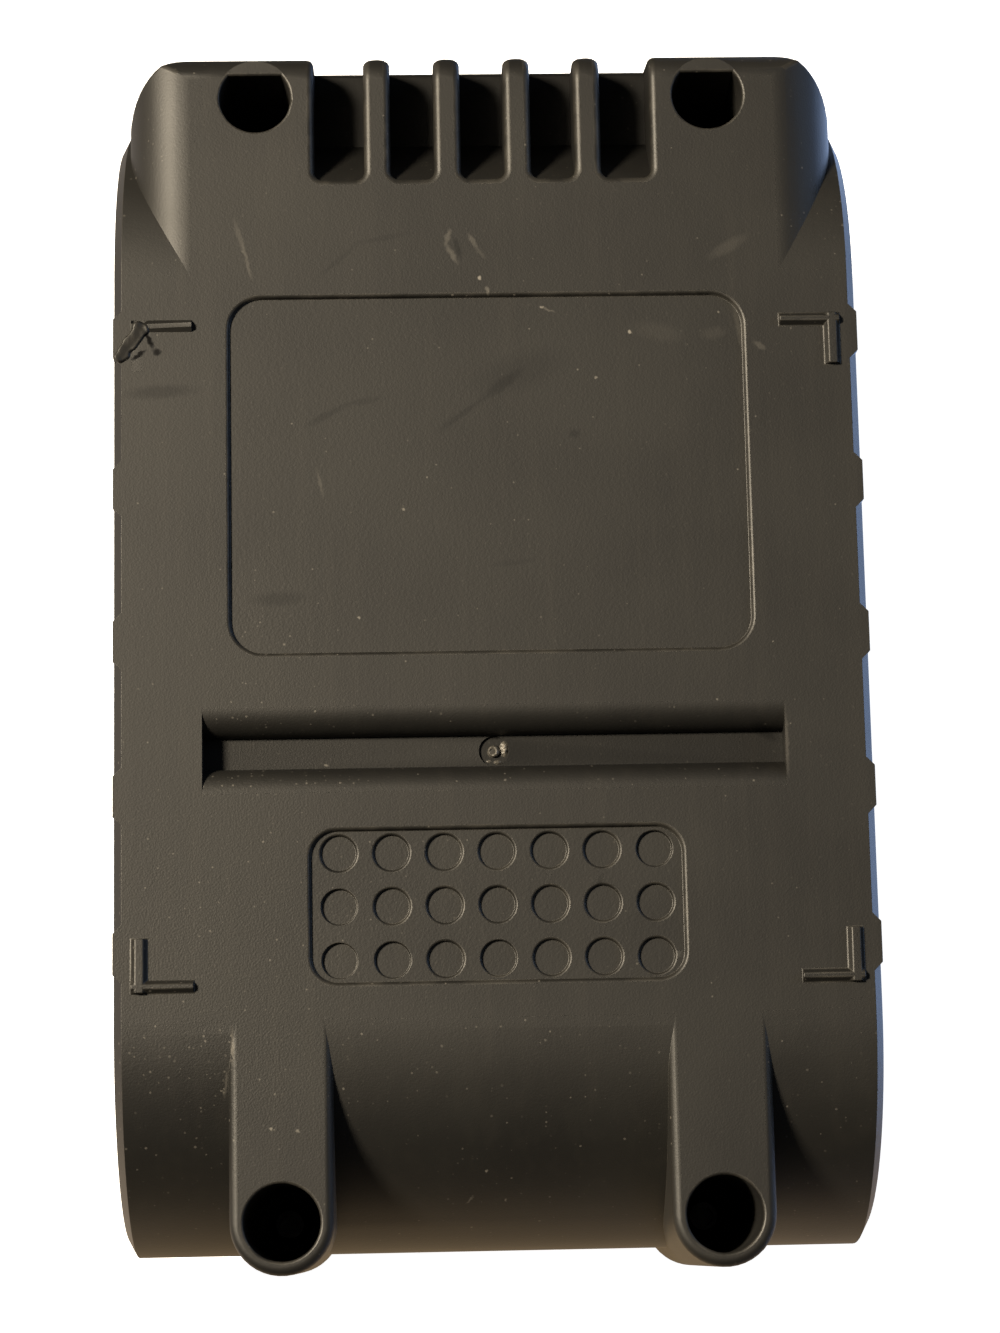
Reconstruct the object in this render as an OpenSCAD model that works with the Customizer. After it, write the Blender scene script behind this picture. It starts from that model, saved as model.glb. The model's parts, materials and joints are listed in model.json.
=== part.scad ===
// Slide-on tool battery pack, lying with its flat underside up as it does on a bench.
// Millimetres. +X is across the pack, +Y towards the vented end, +Z up to the underside.
// The pack rests on the lands of its slide rails at z = 0.

/* [Cells] */
// Diameter of one cell
cell_d = 18.4; // [18:0.1:19]
// Length of one cell over its contacts
cell_l = 65; // [62:0.5:70]
// Gap between neighbouring cells
cell_gap = 0.6; // [0.5:0.1:1.5]
// Cells along the pack in each layer
columns = 5; // [5:1:7]
// Radial room of a cell in its holder
cell_fit = 0.05; // [0.03:0.01:0.12]
// Wall of the holder round each cell
holder_wall = 0.95; // [0.6:0.05:1.4]
// Depth of the holder over each cell end
holder_depth = 14; // [8:1:24]
// Thickness of the joining strips
strip_t = 0.3; // [0.15:0.05:0.5]
// Reach of a joining strip past the centre of a cell
strip_reach = 5.5; // [4:0.5:7]
// Width of the tab from a strip to the board
tab_w = 4; // [2:0.5:6]
// Thickness of the insulating cards
card_t = 0.3; // [0.2:0.1:0.6]

/* [Case] */
// Wall of both shells
wall = 2.2; // [1.8:0.1:2.8]
// Height of the lower case, from the underside to the parting line
lower_h = 29; // [26:0.5:32]
// Room between the cards and the side walls
side_gap = 2.2; // [1.8:0.1:4]
// Room between the holders and the underside
base_gap = 0.6; // [0.4:0.1:1.5]
// Room at the nose, for the springs
spring_room = 8.4; // [8:0.1:12]
// Room at the vented end, for the screws and the gauge
tail_room = 11.75; // [10.5:0.05:16]
// Radius of the rounded nose
nose_r = 22.7; // [18:0.1:25]
// Radius of the rounded side strips at the vented end
tail_r = 20.7; // [16:0.1:24]
// Distance of the side strips behind the end block
strip_back = 3.05; // [1:0.05:4]
// Step from the side walls in to the end block
block_step = 1.3; // [0.8:0.1:2.5]
// Round along the two long edges of the end block
block_r = 6.5; // [3:0.1:8]
// Round of the end block's corners in plan
block_corner_r = 7.2; // [3:0.1:8]
// Round of the end block's end edge
block_end_r = 3; // [1:0.1:3.2]
// Width of the chamfer on the long edges
edge_w = 0.85; // [0.4:0.05:1.2]
// Drop of the chamfer on the long edges
edge_drop = 1.6; // [0.8:0.1:2.4]
// Length of the full-width teeth in that chamfer
tooth_l = 4; // [2:0.1:6]
// Spacing of those teeth
tooth_pitch = 15.45; // [12:0.05:17]
// Height of the locating lip at the parting line
lip_h = 1.5; // [0.8:0.1:2.5]
// Thickness of that lip
lip_t = 1; // [0.8:0.1:1.2]

/* [Underside] */
// Width of the label recess
label_w = 51.8; // [40:0.1:60]
// Length of the label recess
label_l = 36.4; // [28:0.1:37]
// Corner radius of the label recess
label_r = 3.3; // [1:0.1:6]
// Depth of the label recess
label_depth = 0.5; // [0.3:0.1:0.8]
// Distance of the label recess from the end of the flat
label_back = 2.3; // [1:0.1:4]
// Length of the grip groove
groove_l = 57.5; // [40:0.5:62]
// Width of the grip groove's floor
groove_floor_w = 3.1; // [2:0.1:4]
// Radius of the grip groove's lips
groove_lip_r = 2.75; // [1.5:0.05:3]
// Depth of the grip groove
groove_depth = 2.8; // [2:0.1:3]
// Shift of the grip groove from the middle of the valley between two cells
groove_shift = -0.45; // [-0.6:0.05:1]
// Diameter of the moulding gate mark in the groove
gate_d = 3; // [2:0.1:3]
// Width of the dimple panel
panel_w = 36.5; // [36:0.1:44]
// Length of the dimple panel
panel_l = 14.9; // [14.5:0.1:16]
// Corner radius of the dimple panel
panel_r = 2.6; // [1:0.1:4]
// Depth of the dimple panel
panel_depth = 0.5; // [0.3:0.1:0.7]
// Distance of the dimple panel's middle from the end of the flat
panel_back = 10.65; // [9:0.05:11.5]
// Diameter of one dimple
dimple_d = 3.5; // [2:0.1:4]
// Depth of one dimple
dimple_depth = 0.4; // [0.2:0.05:0.6]
// Spacing of the dimples across the pack
dimple_pitch_x = 5.16; // [4.5:0.01:5.3]
// Spacing of the dimples along the pack
dimple_pitch_y = 5.25; // [4.5:0.01:5.3]
// Length of an L mark across the pack
mark_lx = 6.1; // [4:0.1:8]
// Length of an L mark along the pack
mark_ly = 5.3; // [4:0.1:8]
// Width of the cross arm of an L mark
mark_wx = 1.25; // [0.8:0.05:2]
// Width of the long arm of an L mark
mark_wy = 1.6; // [0.9:0.05:2.4]
// Height of an L mark
mark_h = 0.6; // [0.3:0.05:0.8]
// Slope at the sides of an L mark
mark_slope = 0.4; // [0.1:0.05:0.4]
// Distance of the L marks from the side walls
mark_side = 1.8; // [1.3:0.1:3]
// Distance of the L marks from the nose end of the flat
mark_nose = 2.5; // [1:0.1:3]
// Distance of the L marks from the vented end of the flat
mark_tail = 4.5; // [2:0.1:6]

/* [Vents and screws] */
// Half span of the vent slots
vent_half = 17.15; // [16:0.05:17.5]
// Length of the vent slots
vent_l = 13.55; // [8:0.05:13.75]
// Depth of the vent slots
vent_depth = 6.3; // [3:0.1:7]
// Width of the ribs between the slots
rib_w = 2.7; // [2:0.1:3.5]
// Spacing of the ribs
rib_pitch = 7.15; // [6.5:0.05:7.5]
// Corner radius of the slots
vent_r = 0.9; // [0.4:0.1:1.2]
// Depth of the slots at their inner end, where the floor starts to slope
vent_step = 0.8; // [0.3:0.1:1.5]
// Corner radius of the ribs' tips
rib_tip_r = 1; // [0.5:0.1:1]
// Round of the slot floors' open end
vent_end_r = 0.6; // [0.4:0.1:2.4]
// Radius of the screw posts at the nose
post_r = 5.05; // [4.9:0.05:5.4]
// Reach of the screw posts past the nose
post_over = 1.95; // [1:0.05:2.5]
// Distance of the screw posts from the middle
post_x = 21.3; // [20.8:0.1:26]
// Round of the screw posts' upper edge
post_edge_r = 0.9; // [0.3:0.1:1]
// Diameter of the screw holes in the posts
post_hole_d = 7.4; // [7:0.1:7.8]
// Diameter of the screw holes at the vented end
tail_hole_d = 7.2; // [6.8:0.1:7.4]
// Distance of the vented end's screw holes from the middle
tail_hole_x = 23.1; // [22.8:0.1:27]
// Distance of the vented end's screw holes from the end
tail_hole_back = 4.9; // [4.6:0.05:5.5]
// Distance of the flat side of those holes from their middle
tail_flat = 2.4; // [2.2:0.05:3.2]
// Radius of the lip that carries those holes level over the rounded end edge
tail_lip_r = 3.95; // [3.8:0.05:4.1]
// Floor under the case screws' heads
boss_floor = 3.5; // [2.5:0.1:5]
// Radius of the screw pillars in the upper case
pillar_r = 4.2; // [3:0.1:4.4]
// Diameter of the case screws
screw_d = 3; // [2.5:0.1:3.5]
// Length of the case screws
screw_l = 16; // [10:0.5:18]
// Height of the case screws' heads
screw_head_h = 2.4; // [1.5:0.1:3]

/* [Upper case and rails] */
// Height of the slide rails over the deck
rail_h = 9; // [8:0.1:12]
// Width over the rail lips
rail_w = 50; // [48:0.5:54]
// Depth of the grooves beside the rails
rail_groove_w = 4.5; // [4.3:0.1:5.5]
// Thickness of the rail lips
rail_lip_t = 3.6; // [3:0.1:3.8]
// Distance from the latch to the rails
rail_gap = 6; // [4:0.5:10]
// Distance of the rails from the vented end
rail_back = 15; // [14:0.5:20]
// Lead-in at the ends of the rails
rail_lead = 3; // [1:0.5:4]
// Round of the deck's outer edges
deck_r = 4; // [2.5:0.1:5]
// Width of the grip flutes in the side walls
flute_w = 3; // [2:0.1:4]
// Height of the grip flutes
flute_h = 12; // [8:0.5:13]
// Depth of the grip flutes
flute_depth = 0.8; // [0.4:0.1:1]
// Number of grip flutes in each side wall
flute_count = 9; // [3:1:11]

/* [Release button] */
// Width of the button's pad
pad_w = 27; // [20:0.5:28]
// Length of the button's pad
pad_l = 10.2; // [8:0.1:11]
// Height of the pad over the deck
pad_proud = 1; // [0.5:0.1:2]
// Distance of the pad from the inside of the nose
pad_back = 2.4; // [2.3:0.1:3]
// Width of the latch tongue
tongue_w = 18; // [12:0.5:20]
// Length of the latch tongue
tongue_l = 4.4; // [3:0.1:5]
// Height of the latch tongue over the deck
tongue_h = 4; // [3:0.1:4.2]
// Distance from the pad to the latch tongue
tongue_gap = 1; // [0.5:0.1:2]
// Thickness of the flange that keeps the button in
flange_t = 2.4; // [1.5:0.1:2.6]
// Lap of that flange past the opening
flange_lap = 1.6; // [1:0.1:1.7]
// Travel of the button
release_travel = 4.5; // [4:0.1:4.6]
// Outside diameter of the release springs
spring_od = 5.4; // [4.5:0.1:5.6]
// Wire of the release springs
spring_wire = 0.7; // [0.5:0.05:0.8]
// Room for the release springs between their seats
spring_l = 14; // [12:0.5:15]
// Turns of each release spring
spring_turns = 6; // [4:1:7]
// Distance of the release springs from the middle
spring_x = 7; // [5:0.5:9]

/* [Gauge] */
// Width of the gauge lens
lens_w = 15.4; // [12:0.1:16]
// Height of the gauge lens
lens_h = 4.4; // [3.5:0.1:6]
// Place of the gauge lens across the pack
lens_x = -4.5; // [-5:0.1:-4]
// Diameter of the gauge button
gauge_button_d = 6.6; // [5:0.1:7]
// Place of the gauge button across the pack
gauge_button_x = 9; // [9:0.1:9.5]
// Travel of the gauge button
gauge_travel = 0.8; // [0.4:0.1:0.9]
// Distance of the gauge below the parting line
gauge_drop = 9; // [8:0.1:10]
// Room between the gauge board and the end wall
gauge_room = 2.6; // [2.5:0.1:3.2]
// Thickness of the gauge board
gauge_board_t = 1.2; // [0.8:0.1:1.6]

/* [Board and terminals] */
// Thickness of the control board
board_t = 1.6; // [1:0.1:2]
// Height of the board over the deck's inside
board_boss = 4.4; // [4:0.1:7]
// Room between the board and the cell holders
board_gap = 2.6; // [2.4:0.1:5]
// Diameter of the board screws
board_screw_d = 2; // [1.6:0.1:2.5]
// Spacing of the terminals
terminal_pitch = 7; // [6:0.1:7.2]
// Width of the terminal slots
terminal_slot_w = 2.4; // [2:0.1:3]
// Length of the terminal block
terminal_block_l = 24; // [20:0.5:26]
// Length of the power contacts
power_contact_l = 13; // [8:0.5:15]
// Length of the signal contacts
signal_contact_l = 8; // [5:0.5:13]
// Thickness of the contact leaves
contact_t = 0.6; // [0.3:0.1:0.7]
// Gap between the two leaves of a contact
contact_gap = 0.8; // [0.5:0.1:1]

/* [Clearances] */
// Clearance round sliding pieces
slide_fit = 0.3; // [0.25:0.05:0.4]
// Clearance between fixed pieces
seat_fit = 0.15; // [0.1:0.05:0.25]
// Radial clearance round screws
screw_fit = 0.05; // [0.03:0.01:0.1]
// Radial clearance round screw heads
head_fit = 0.2; // [0.2:0.05:0.6]

/* [Hidden] */
$fn = 72;
layers = 2;
cell_count = columns * layers;
left_strips = floor(columns / 2) + 1;
right_strips = ceil(columns / 2);

// Colours
case_black = "#3d3a36";
button_grey = "#5b5a57";
holder_grey = "#2f3133";
cell_wrap = "#3f7f8f";
nickel = "#b9b6ad";
card_paper = "#c8c3a8";
board_green = "#23563a";
chip_black = "#1d1d1f";
steel = "#8d8f92";
copper = "#b98d4f";
lens_smoke = "#8fa3a8";
led_white = "#e8e8e0";

// Small step that carries a cut clear of the face it starts on
eps = 0.5;

// Levels, from the rail lands up to the underside
pitch = cell_d + cell_gap;
bore_r = cell_d / 2 + cell_fit;
holder_r = bore_r + holder_wall;
deck_in = rail_h + wall;
board_z = deck_in + board_boss;
board_top = board_z + board_t;
low_z = board_top + board_gap + holder_r;
top_z = low_z + pitch;
base_z = top_z + holder_r + base_gap + wall;
split_z = base_z - lower_h;
layer_z = [top_z, low_z];

// Width: the end block, which is narrower, clears the cards too
card_room = 0.5;
body_w = cell_l + 2 * (strip_t + card_t + max(side_gap, block_step + card_room) + wall);
half_w = body_w / 2;
block_half = half_w - block_step;
strip_x = cell_l / 2;
card_x = strip_x + strip_t;
card_r = cell_d / 2;
card_out = card_x + card_t + slide_fit;

// Inner round along the end block's long edges, the largest that clears the corners of the holders
corner_dx = block_half - wall - strip_x - slide_fit;
corner_dz = base_gap - slide_fit;
corner_r = corner_dx + corner_dz + slide_fit + sqrt(2 * corner_dx * corner_dz);
block_in_r = min(block_r - wall / 2, corner_r);

// Length: the first cells clear the springs and the inside of the rounded nose
nose_fit = 0.3;
nose_slack = nose_r - wall - holder_r;
nose_dip = sqrt(max(0, pow(nose_slack - nose_fit, 2) - pow(nose_slack - base_gap, 2)));
nose_reach = max(wall + spring_room + holder_r, nose_r - nose_dip);
tail_reach = holder_r + tail_room + wall;
body_l = nose_reach + (columns - 1) * pitch + tail_reach;
nose_y = post_over - (body_l + post_over) / 2;
tail_y = nose_y + body_l;
nose_in = nose_y + wall;
tail_in = tail_y - wall;
strip_end = tail_y - strip_back;
flat_nose = nose_y + nose_r;
flat_tail = strip_end - tail_r;
flat_mid = (flat_nose + flat_tail) / 2;
function column_y(i) = nose_y + nose_reach + i * pitch;
holder_nose = column_y(0) - holder_r;

// Rests in the upper case that carry the holders, one under each end of every cell
rest_w = 3;
rest_half = 1;
rest_z = low_z - holder_r - seat_fit;

// Underside
groove_y = (column_y(1) + column_y(2)) / 2 + groove_shift;
groove_half = groove_floor_w / 2 + groove_lip_r;
groove_skin = 1.6;
groove_back = 1.2;
gate_depth = 0.3;
gate_pin_r = 0.6;
label_y = flat_tail - label_back - label_l / 2;
panel_y = flat_nose + panel_back;
dimple_columns = 7;
dimple_rows = 3;
tooth_count = 5;
rib_count = 4;
vent_y = tail_y - vent_l;
vent_skin = 1.8;
slope_end = vent_y + vent_depth - vent_step;
ramp_skin = (sqrt(2) - 1) * vent_skin;

// Screws
post_y = nose_y - post_over + post_r;
tail_hole_y = tail_y - tail_hole_back;
boss_skin = 1.4;
tail_boss_r = tail_hole_d / 2 + boss_skin;
seat_z = split_z + boss_floor;
screw_r = screw_d / 2;
head_r = min(post_hole_d / 2, tail_hole_d / 2, tail_flat) - head_fit;
pilot_room = 1;
screw_spots = [[-post_x, post_y], [post_x, post_y], [-tail_hole_x, tail_hole_y], [tail_hole_x, tail_hole_y]];

// Release button, from the inside of the nose towards the rails
pad_y0 = nose_in + pad_back;
pad_y1 = pad_y0 + pad_l;
tongue_y0 = pad_y1 + tongue_gap;
tongue_y1 = tongue_y0 + tongue_l;
flange_z = deck_in + slide_fit;
flange_top = flange_z + flange_t;
flange_half = pad_w / 2 + slide_fit + flange_lap;
flange_y0 = pad_y0 - slide_fit - flange_lap;
flange_y1 = tongue_y1 + slide_fit + flange_lap;
spring_seat_z = flange_top + spring_l;
seat_y0 = nose_in + seat_fit + lip_t + slide_fit;
seat_room = 1.1;
seat_y1 = holder_nose - seat_room;
spring_y = (seat_y0 + seat_y1) / 2;
spring_r = (spring_od - spring_wire) / 2;
peg_r = spring_od / 2 - spring_wire - slide_fit;
peg_h = 2.5;
pad_ridges = 4;
ridge_h = 0.6;
ridge_in = 3;

// Path of one spring's wire, with the least gap between its turns
spring_steps = 12;
spring_sides = 6;
spring_end_gap = 0.1;
spring_rings = spring_turns * spring_steps;
spring_rise = spring_l - spring_wire - 2 * spring_end_gap;
spring_path = [
    for (i = [0 : spring_rings])
        let (a = 360 * i / spring_steps)
            [spring_r * cos(a), spring_r * sin(a), spring_rise * i / spring_rings]
];
spring_gaps = [
    for (i = [0 : spring_rings - spring_steps])
        norm(spring_path[i + spring_steps] - spring_path[i])
];
echo(spring_least_gap = min(spring_gaps) - spring_wire);

// Rails, board and terminals
rail_y0 = tongue_y1 + rail_gap;
rail_y1 = tail_y - rail_back;
neck_half = rail_w / 2 - rail_groove_w;
hollow_half = neck_half - wall;
board_room = 1.5;
board_half = strip_x - rest_w - 2 * slide_fit;
board_y0 = rail_y0 + wall;
board_y1 = tail_hole_y - pillar_r - board_room;
board_screw_r = board_screw_d / 2;
board_boss_wall = 2;
board_boss_r = board_screw_r + board_boss_wall;
board_head_lap = 1;
board_head_r = board_screw_r + board_head_lap;
board_head_h = 1.4;
board_tip_gap = 0.6;
board_screw_l = board_t + board_boss - board_tip_gap;
board_spot_x = (neck_half + board_half) / 2;
board_spot_in = 6;
board_spots = [
    for (s = [-1, 1], y = [board_y0 + board_spot_in, board_y1 - board_spot_in]) [s * board_spot_x, y]
];
chip_w = 9;
chip_h = 1.4;
block_y1 = rail_y1 - wall - seat_fit;
block_y0 = block_y1 - terminal_block_l;
block_half_w = hollow_half - seat_fit;
block_z = wall + seat_fit;
block_back = 3;
block_bridge = 2;
chip_y = (board_y0 + block_y0) / 2;
terminal_spots = [for (i = [-2 : 2]) i * terminal_pitch];
slot_skin = 1;
pocket_side = 0.6;
pocket_end = 0.5;
pocket_w = 2 * (contact_t + pocket_side) + contact_gap;
contact_y0 = block_y0 + block_back + pocket_end;
contact_lift = 1.5;
contact_z = block_z + contact_lift;

// Gauge
gauge_z = split_z - gauge_drop;
gauge_front = tail_in - gauge_room;
gauge_back = gauge_front - gauge_board_t;
gauge_half = 14.8;
gauge_foot = 3.8;
gauge_low = deck_in + gauge_foot;
gauge_head = 3;
gauge_high = split_z - gauge_head;
gauge_recess = 0.2;
guide_lap = 0.8;
guide_w = 2.2;
guide_back = 1;
lens_flange = 1.2;
lens_flange_t = 1;
gauge_button_r = gauge_button_d / 2;
button_flange_t = 0.8;
button_lap = 0.6;
button_edge = 0.3;
switch_gap = 0.1;
switch_h = gauge_room - slide_fit - button_flange_t - gauge_travel - switch_gap;
led_count = 4;
led_h = 1;

// Extrusions along each axis, of a shape drawn in the other two
module prism_x(x0, x1) {
    translate([x0, 0, 0])
        rotate([90, 0, 90])
            linear_extrude(x1 - x0)
                children();
}

module prism_y(y0, y1) {
    translate([0, y1, 0])
        rotate([90, 0, 0])
            linear_extrude(y1 - y0)
                children();
}

module prism_z(z0, z1) {
    translate([0, 0, z0])
        linear_extrude(z1 - z0)
            children();
}

module both_sides() {
    children();
    mirror([1, 0, 0])
        children();
}

module block(x0, x1, y0, y1, z0, z1) {
    translate([x0, y0, z0])
        cube([x1 - x0, y1 - y0, z1 - z0]);
}

// Upright round bar at a place in plan
module bar(spot, r, z0, z1) {
    translate([spot[0], spot[1], z0])
        cylinder(r = r, h = z1 - z0);
}

// Rectangle with four round corners, about its middle
module round_rect(w, l, r) {
    square([w - 2 * r, l], center = true);
    square([w, l - 2 * r], center = true);
    for (x = [-1, 1], y = [-1, 1])
        translate([x * (w / 2 - r), y * (l / 2 - r)])
            circle(r);
}

// Upright band from y0 to y1 whose two upper corners are round
module round_top(half, y0, y1, r) {
    translate([-half, y0])
        square([2 * half, y1 - y0 - r]);
    translate([r - half, y0])
        square([2 * (half - r), y1 - y0]);
    for (s = [-1, 1])
        translate([s * (half - r), y1 - r])
            circle(r);
}

// Plan of the main shell, with the two edges at each end chamfered as the long edges are
module shell_plan() {
    polygon([
        [edge_w - half_w, nose_y], [half_w - edge_w, nose_y], [half_w, nose_y + edge_drop],
        [half_w, strip_end - edge_drop], [half_w - edge_w, strip_end], [edge_w - half_w, strip_end],
        [-half_w, strip_end - edge_drop], [-half_w, nose_y + edge_drop]
    ]);
}

// Plan of the end block, with its two outer corners round
module end_block_plan(inset) {
    round_top(block_half - inset, flat_tail - inset, tail_y - inset, block_corner_r - inset / 2);
}

// Plan of the inside of both shells, where the end block closes the space at the vented end
module inside_plan(inset) {
    translate([inset - half_w, nose_y + inset])
        square([2 * (half_w - inset), flat_tail - nose_y - inset]);
    end_block_plan(inset);
}

// The end block: full height out to the vented end
module end_block(inset) {
    least_r = 0.4;
    low = inset > 0 ? split_z - eps : split_z;
    start = flat_tail - inset;
    intersection() {
        prism_y(start, tail_y - inset)
            round_top(block_half - inset, low, base_z - inset, inset > 0 ? block_in_r : block_r);
        prism_z(low, base_z)
            end_block_plan(inset);
        prism_x(-half_w, half_w)
            difference() {
                translate([start, low])
                    square([tail_y - inset - start, base_z - inset - low]);
                corner_cut(tail_y - inset, base_z - inset, max(least_r, block_end_r - inset));
            }
    }
}

// What a round of radius r takes off an outer corner at (y, z)
module corner_cut(y, z, r) {
    difference() {
        translate([y - r, z - r])
            square([r + eps, r + eps]);
        translate([y - r, z - r])
            circle(r);
    }
}

// Drum along X for a rounded end, with the chamfer of the long edges at both rims
module end_drum(y, z, r, half, chamfer_w, chamfer_drop) {
    translate([0, y, z])
        rotate([0, 90, 0])
            rotate_extrude()
                polygon([
                    [0, -half], [r - chamfer_drop, -half], [r, chamfer_w - half],
                    [r, half - chamfer_w], [r - chamfer_drop, half], [0, half]
                ]);
}

// Quarter of a drum from the flat to one end, and the upright wall under it
module rounded_end(y, r, end_y) {
    axis_z = base_z - r;
    y0 = min(y, end_y);
    y1 = max(y, end_y);
    intersection() {
        end_drum(y, axis_z, r, half_w, edge_w, edge_drop);
        block(-half_w, half_w, y0, y1, axis_z, base_z);
    }
    intersection() {
        prism_z(split_z, axis_z)
            shell_plan();
        block(-half_w, half_w, y0, y1, split_z, axis_z);
    }
}

module screw_post(spot, z0) {
    translate([spot[0], spot[1], z0])
        rotate_extrude()
            intersection() {
                round_top(post_r, 0, base_z - z0, post_edge_r);
                square([post_r, base_z - z0]);
            }
}

// The long back of a post, level with the underside until the nose has curved away
module post_back(x) {
    translate([x, 0, 0])
        prism_y(post_y, flat_nose)
            round_top(post_r, split_z, base_z, post_edge_r);
}

module lower_outer() {
    prism_y(flat_nose, flat_tail)
        polygon([
            [-half_w, split_z], [half_w, split_z], [half_w, base_z - edge_drop],
            [half_w - edge_w, base_z], [edge_w - half_w, base_z], [-half_w, base_z - edge_drop]
        ]);
    rounded_end(flat_nose, nose_r, nose_y);
    rounded_end(flat_tail, tail_r, strip_end);
    end_block(0);
    for (x = [-post_x, post_x]) {
        screw_post([x, post_y], split_z);
        post_back(x);
    }
    both_sides()
        edge_teeth();
}

// Full-width teeth that interrupt the chamfer of a long edge
module edge_teeth() {
    first = flat_mid - (tooth_count - 1) * tooth_pitch / 2;
    for (i = [0 : tooth_count - 1])
        translate([half_w - edge_w, first + i * tooth_pitch])
            prism_z(base_z - edge_drop, base_z)
                polygon([
                    [0, -tooth_l / 2 - edge_w], [edge_w, -tooth_l / 2],
                    [edge_w, tooth_l / 2], [0, tooth_l / 2 + edge_w]
                ]);
}

module lower_cavity() {
    in_half = half_w - wall;
    axis_z = base_z - nose_r;
    block(-in_half, in_half, flat_nose, flat_tail, split_z - eps, base_z - wall);
    intersection() {
        end_drum(flat_nose, axis_z, nose_r - wall, in_half, 0, 0);
        block(-in_half, in_half, nose_in, flat_nose, axis_z, base_z);
    }
    block(-in_half, in_half, nose_in, flat_nose, split_z - eps, axis_z);
    end_block(wall);
}

// Bosses round the screw holes, with a level lip where the end edge rounds away from them
module lower_bosses() {
    for (x = [-post_x, post_x])
        bar([x, post_y], post_r, split_z, base_z - post_edge_r);
    for (x = [-tail_hole_x, tail_hole_x])
        bar([x, tail_hole_y], tail_lip_r, base_z - wall, base_z);
    intersection() {
        for (x = [-tail_hole_x, tail_hole_x])
            bar([x, tail_hole_y], tail_boss_r, split_z, base_z - wall / 2);
        end_block(0);
    }
}

// Solid that is left inside the shell: vent floor, groove back, side ribs and spring seat
module lower_inside() {
    roof_z = base_z - wall / 2;
    prism_x(-vent_half - vent_skin, vent_half + vent_skin)
        polygon([
            [vent_y - vent_skin, roof_z], [vent_y - vent_skin, roof_z - vent_step],
            [slope_end - ramp_skin, base_z - vent_depth - vent_skin],
            [tail_y - wall / 2, base_z - vent_depth - vent_skin], [tail_y - wall / 2, roof_z]
        ]);
    block(
        -groove_l / 2 - groove_skin, groove_l / 2 + groove_skin,
        groove_y - groove_floor_w / 2 - groove_back, groove_y + groove_floor_w / 2 + groove_back,
        base_z - groove_depth - groove_skin, base_z - wall / 2
    );
    both_sides()
        for (i = [0 : columns - 2])
            side_rib((column_y(i) + column_y(i + 1)) / 2);
    spring_seat();
}

// Rib that steadies the cells from the side
module side_rib(y) {
    rib_half = 0.8;
    rib_lift = 1.5;
    low = split_z + lip_h + rib_lift;
    block(card_out, half_w - wall / 2, y - rib_half, y + rib_half, low, base_z - wall / 2);
}

// Pillar down from the nose that the release springs push against
module spring_seat() {
    seat_side = 1;
    link_lift = 2;
    link_rise = 5;
    seat_half = spring_x + spring_od / 2 + seat_side;
    link_low = split_z + lip_h + link_lift;
    link_high = base_z - nose_r + link_rise;
    block(-seat_half, seat_half, seat_y0, seat_y1, spring_seat_z, link_high);
    block(-seat_half, seat_half, nose_in - wall / 2, seat_y1, link_low, link_high);
    for (x = [-spring_x, spring_x])
        bar([x, spring_y], peg_r, spring_seat_z - peg_h, spring_seat_z + eps);
}

function rib_x(i) = (i - (rib_count - 1) / 2) * rib_pitch;
function slot_left(i) = i == 0 ? -vent_half : rib_x(i - 1) + rib_w / 2;
function slot_right(i) = i == rib_count ? vent_half : rib_x(i) - rib_w / 2;

// Open slots between round-nosed ribs at the vented end
module vent_slots() {
    intersection() {
        prism_z(base_z - vent_depth - vent_end_r, base_z + eps) {
            for (i = [0 : rib_count])
                vent_slot(slot_left(i), slot_right(i));
            for (i = [0 : rib_count - 1])
                rib_tip(rib_x(i));
        }
        prism_x(-vent_half, vent_half) {
            polygon([
                [vent_y, base_z + eps], [vent_y, base_z - vent_step], [slope_end, base_z - vent_depth],
                [tail_y + eps, base_z - vent_depth], [tail_y + eps, base_z + eps]
            ]);
            corner_cut(tail_y, base_z - vent_depth, vent_end_r);
        }
    }
}

module vent_slot(left, right) {
    translate([left, vent_y + vent_r])
        square([right - left, vent_l - vent_r + eps]);
    translate([left + vent_r, vent_y])
        square([right - left - 2 * vent_r, vent_l]);
    for (x = [left + vent_r, right - vent_r])
        translate([x, vent_y + vent_r])
            circle(vent_r);
}

// What the two round corners take off the tip of a rib
module rib_tip(x) {
    difference() {
        translate([x - rib_w / 2, tail_y - rib_tip_r])
            square([rib_w, rib_tip_r + eps]);
        round_tip_plan(x);
    }
}

module round_tip_plan(x) {
    translate([x, 0])
        round_top(rib_w / 2, tail_y - 2 * rib_tip_r, tail_y, rib_tip_r);
}

module grip_groove() {
    half = groove_floor_w / 2;
    prism_x(-groove_l / 2, groove_l / 2)
        translate([groove_y, base_z]) {
            translate([-half, -groove_depth])
                square([2 * half, groove_depth + eps]);
            difference() {
                translate([-groove_half, -groove_lip_r])
                    square([2 * groove_half, groove_lip_r + eps]);
                for (s = [-1, 1])
                    translate([s * groove_half, -groove_lip_r])
                        circle(groove_lip_r);
            }
        }
    gate_z = base_z - groove_depth - gate_depth;
    difference() {
        bar([0, groove_y], gate_d / 2, gate_z, gate_z + gate_depth + eps);
        bar([0, groove_y], gate_pin_r, gate_z, gate_z + gate_depth);
    }
}

module label_recess() {
    translate([0, label_y])
        prism_z(base_z - label_depth, base_z + eps)
            round_rect(label_w, label_l, label_r);
}

module dimple_panel() {
    floor_z = base_z - panel_depth;
    translate([0, panel_y])
        prism_z(floor_z, base_z + eps)
            round_rect(panel_w, panel_l, panel_r);
    for (i = [0 : dimple_columns - 1], j = [0 : dimple_rows - 1])
        bar(
            [(i - (dimple_columns - 1) / 2) * dimple_pitch_x,
             panel_y + (j - (dimple_rows - 1) / 2) * dimple_pitch_y],
            dimple_d / 2, floor_z - dimple_depth, floor_z + panel_depth / 2
        );
}

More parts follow.
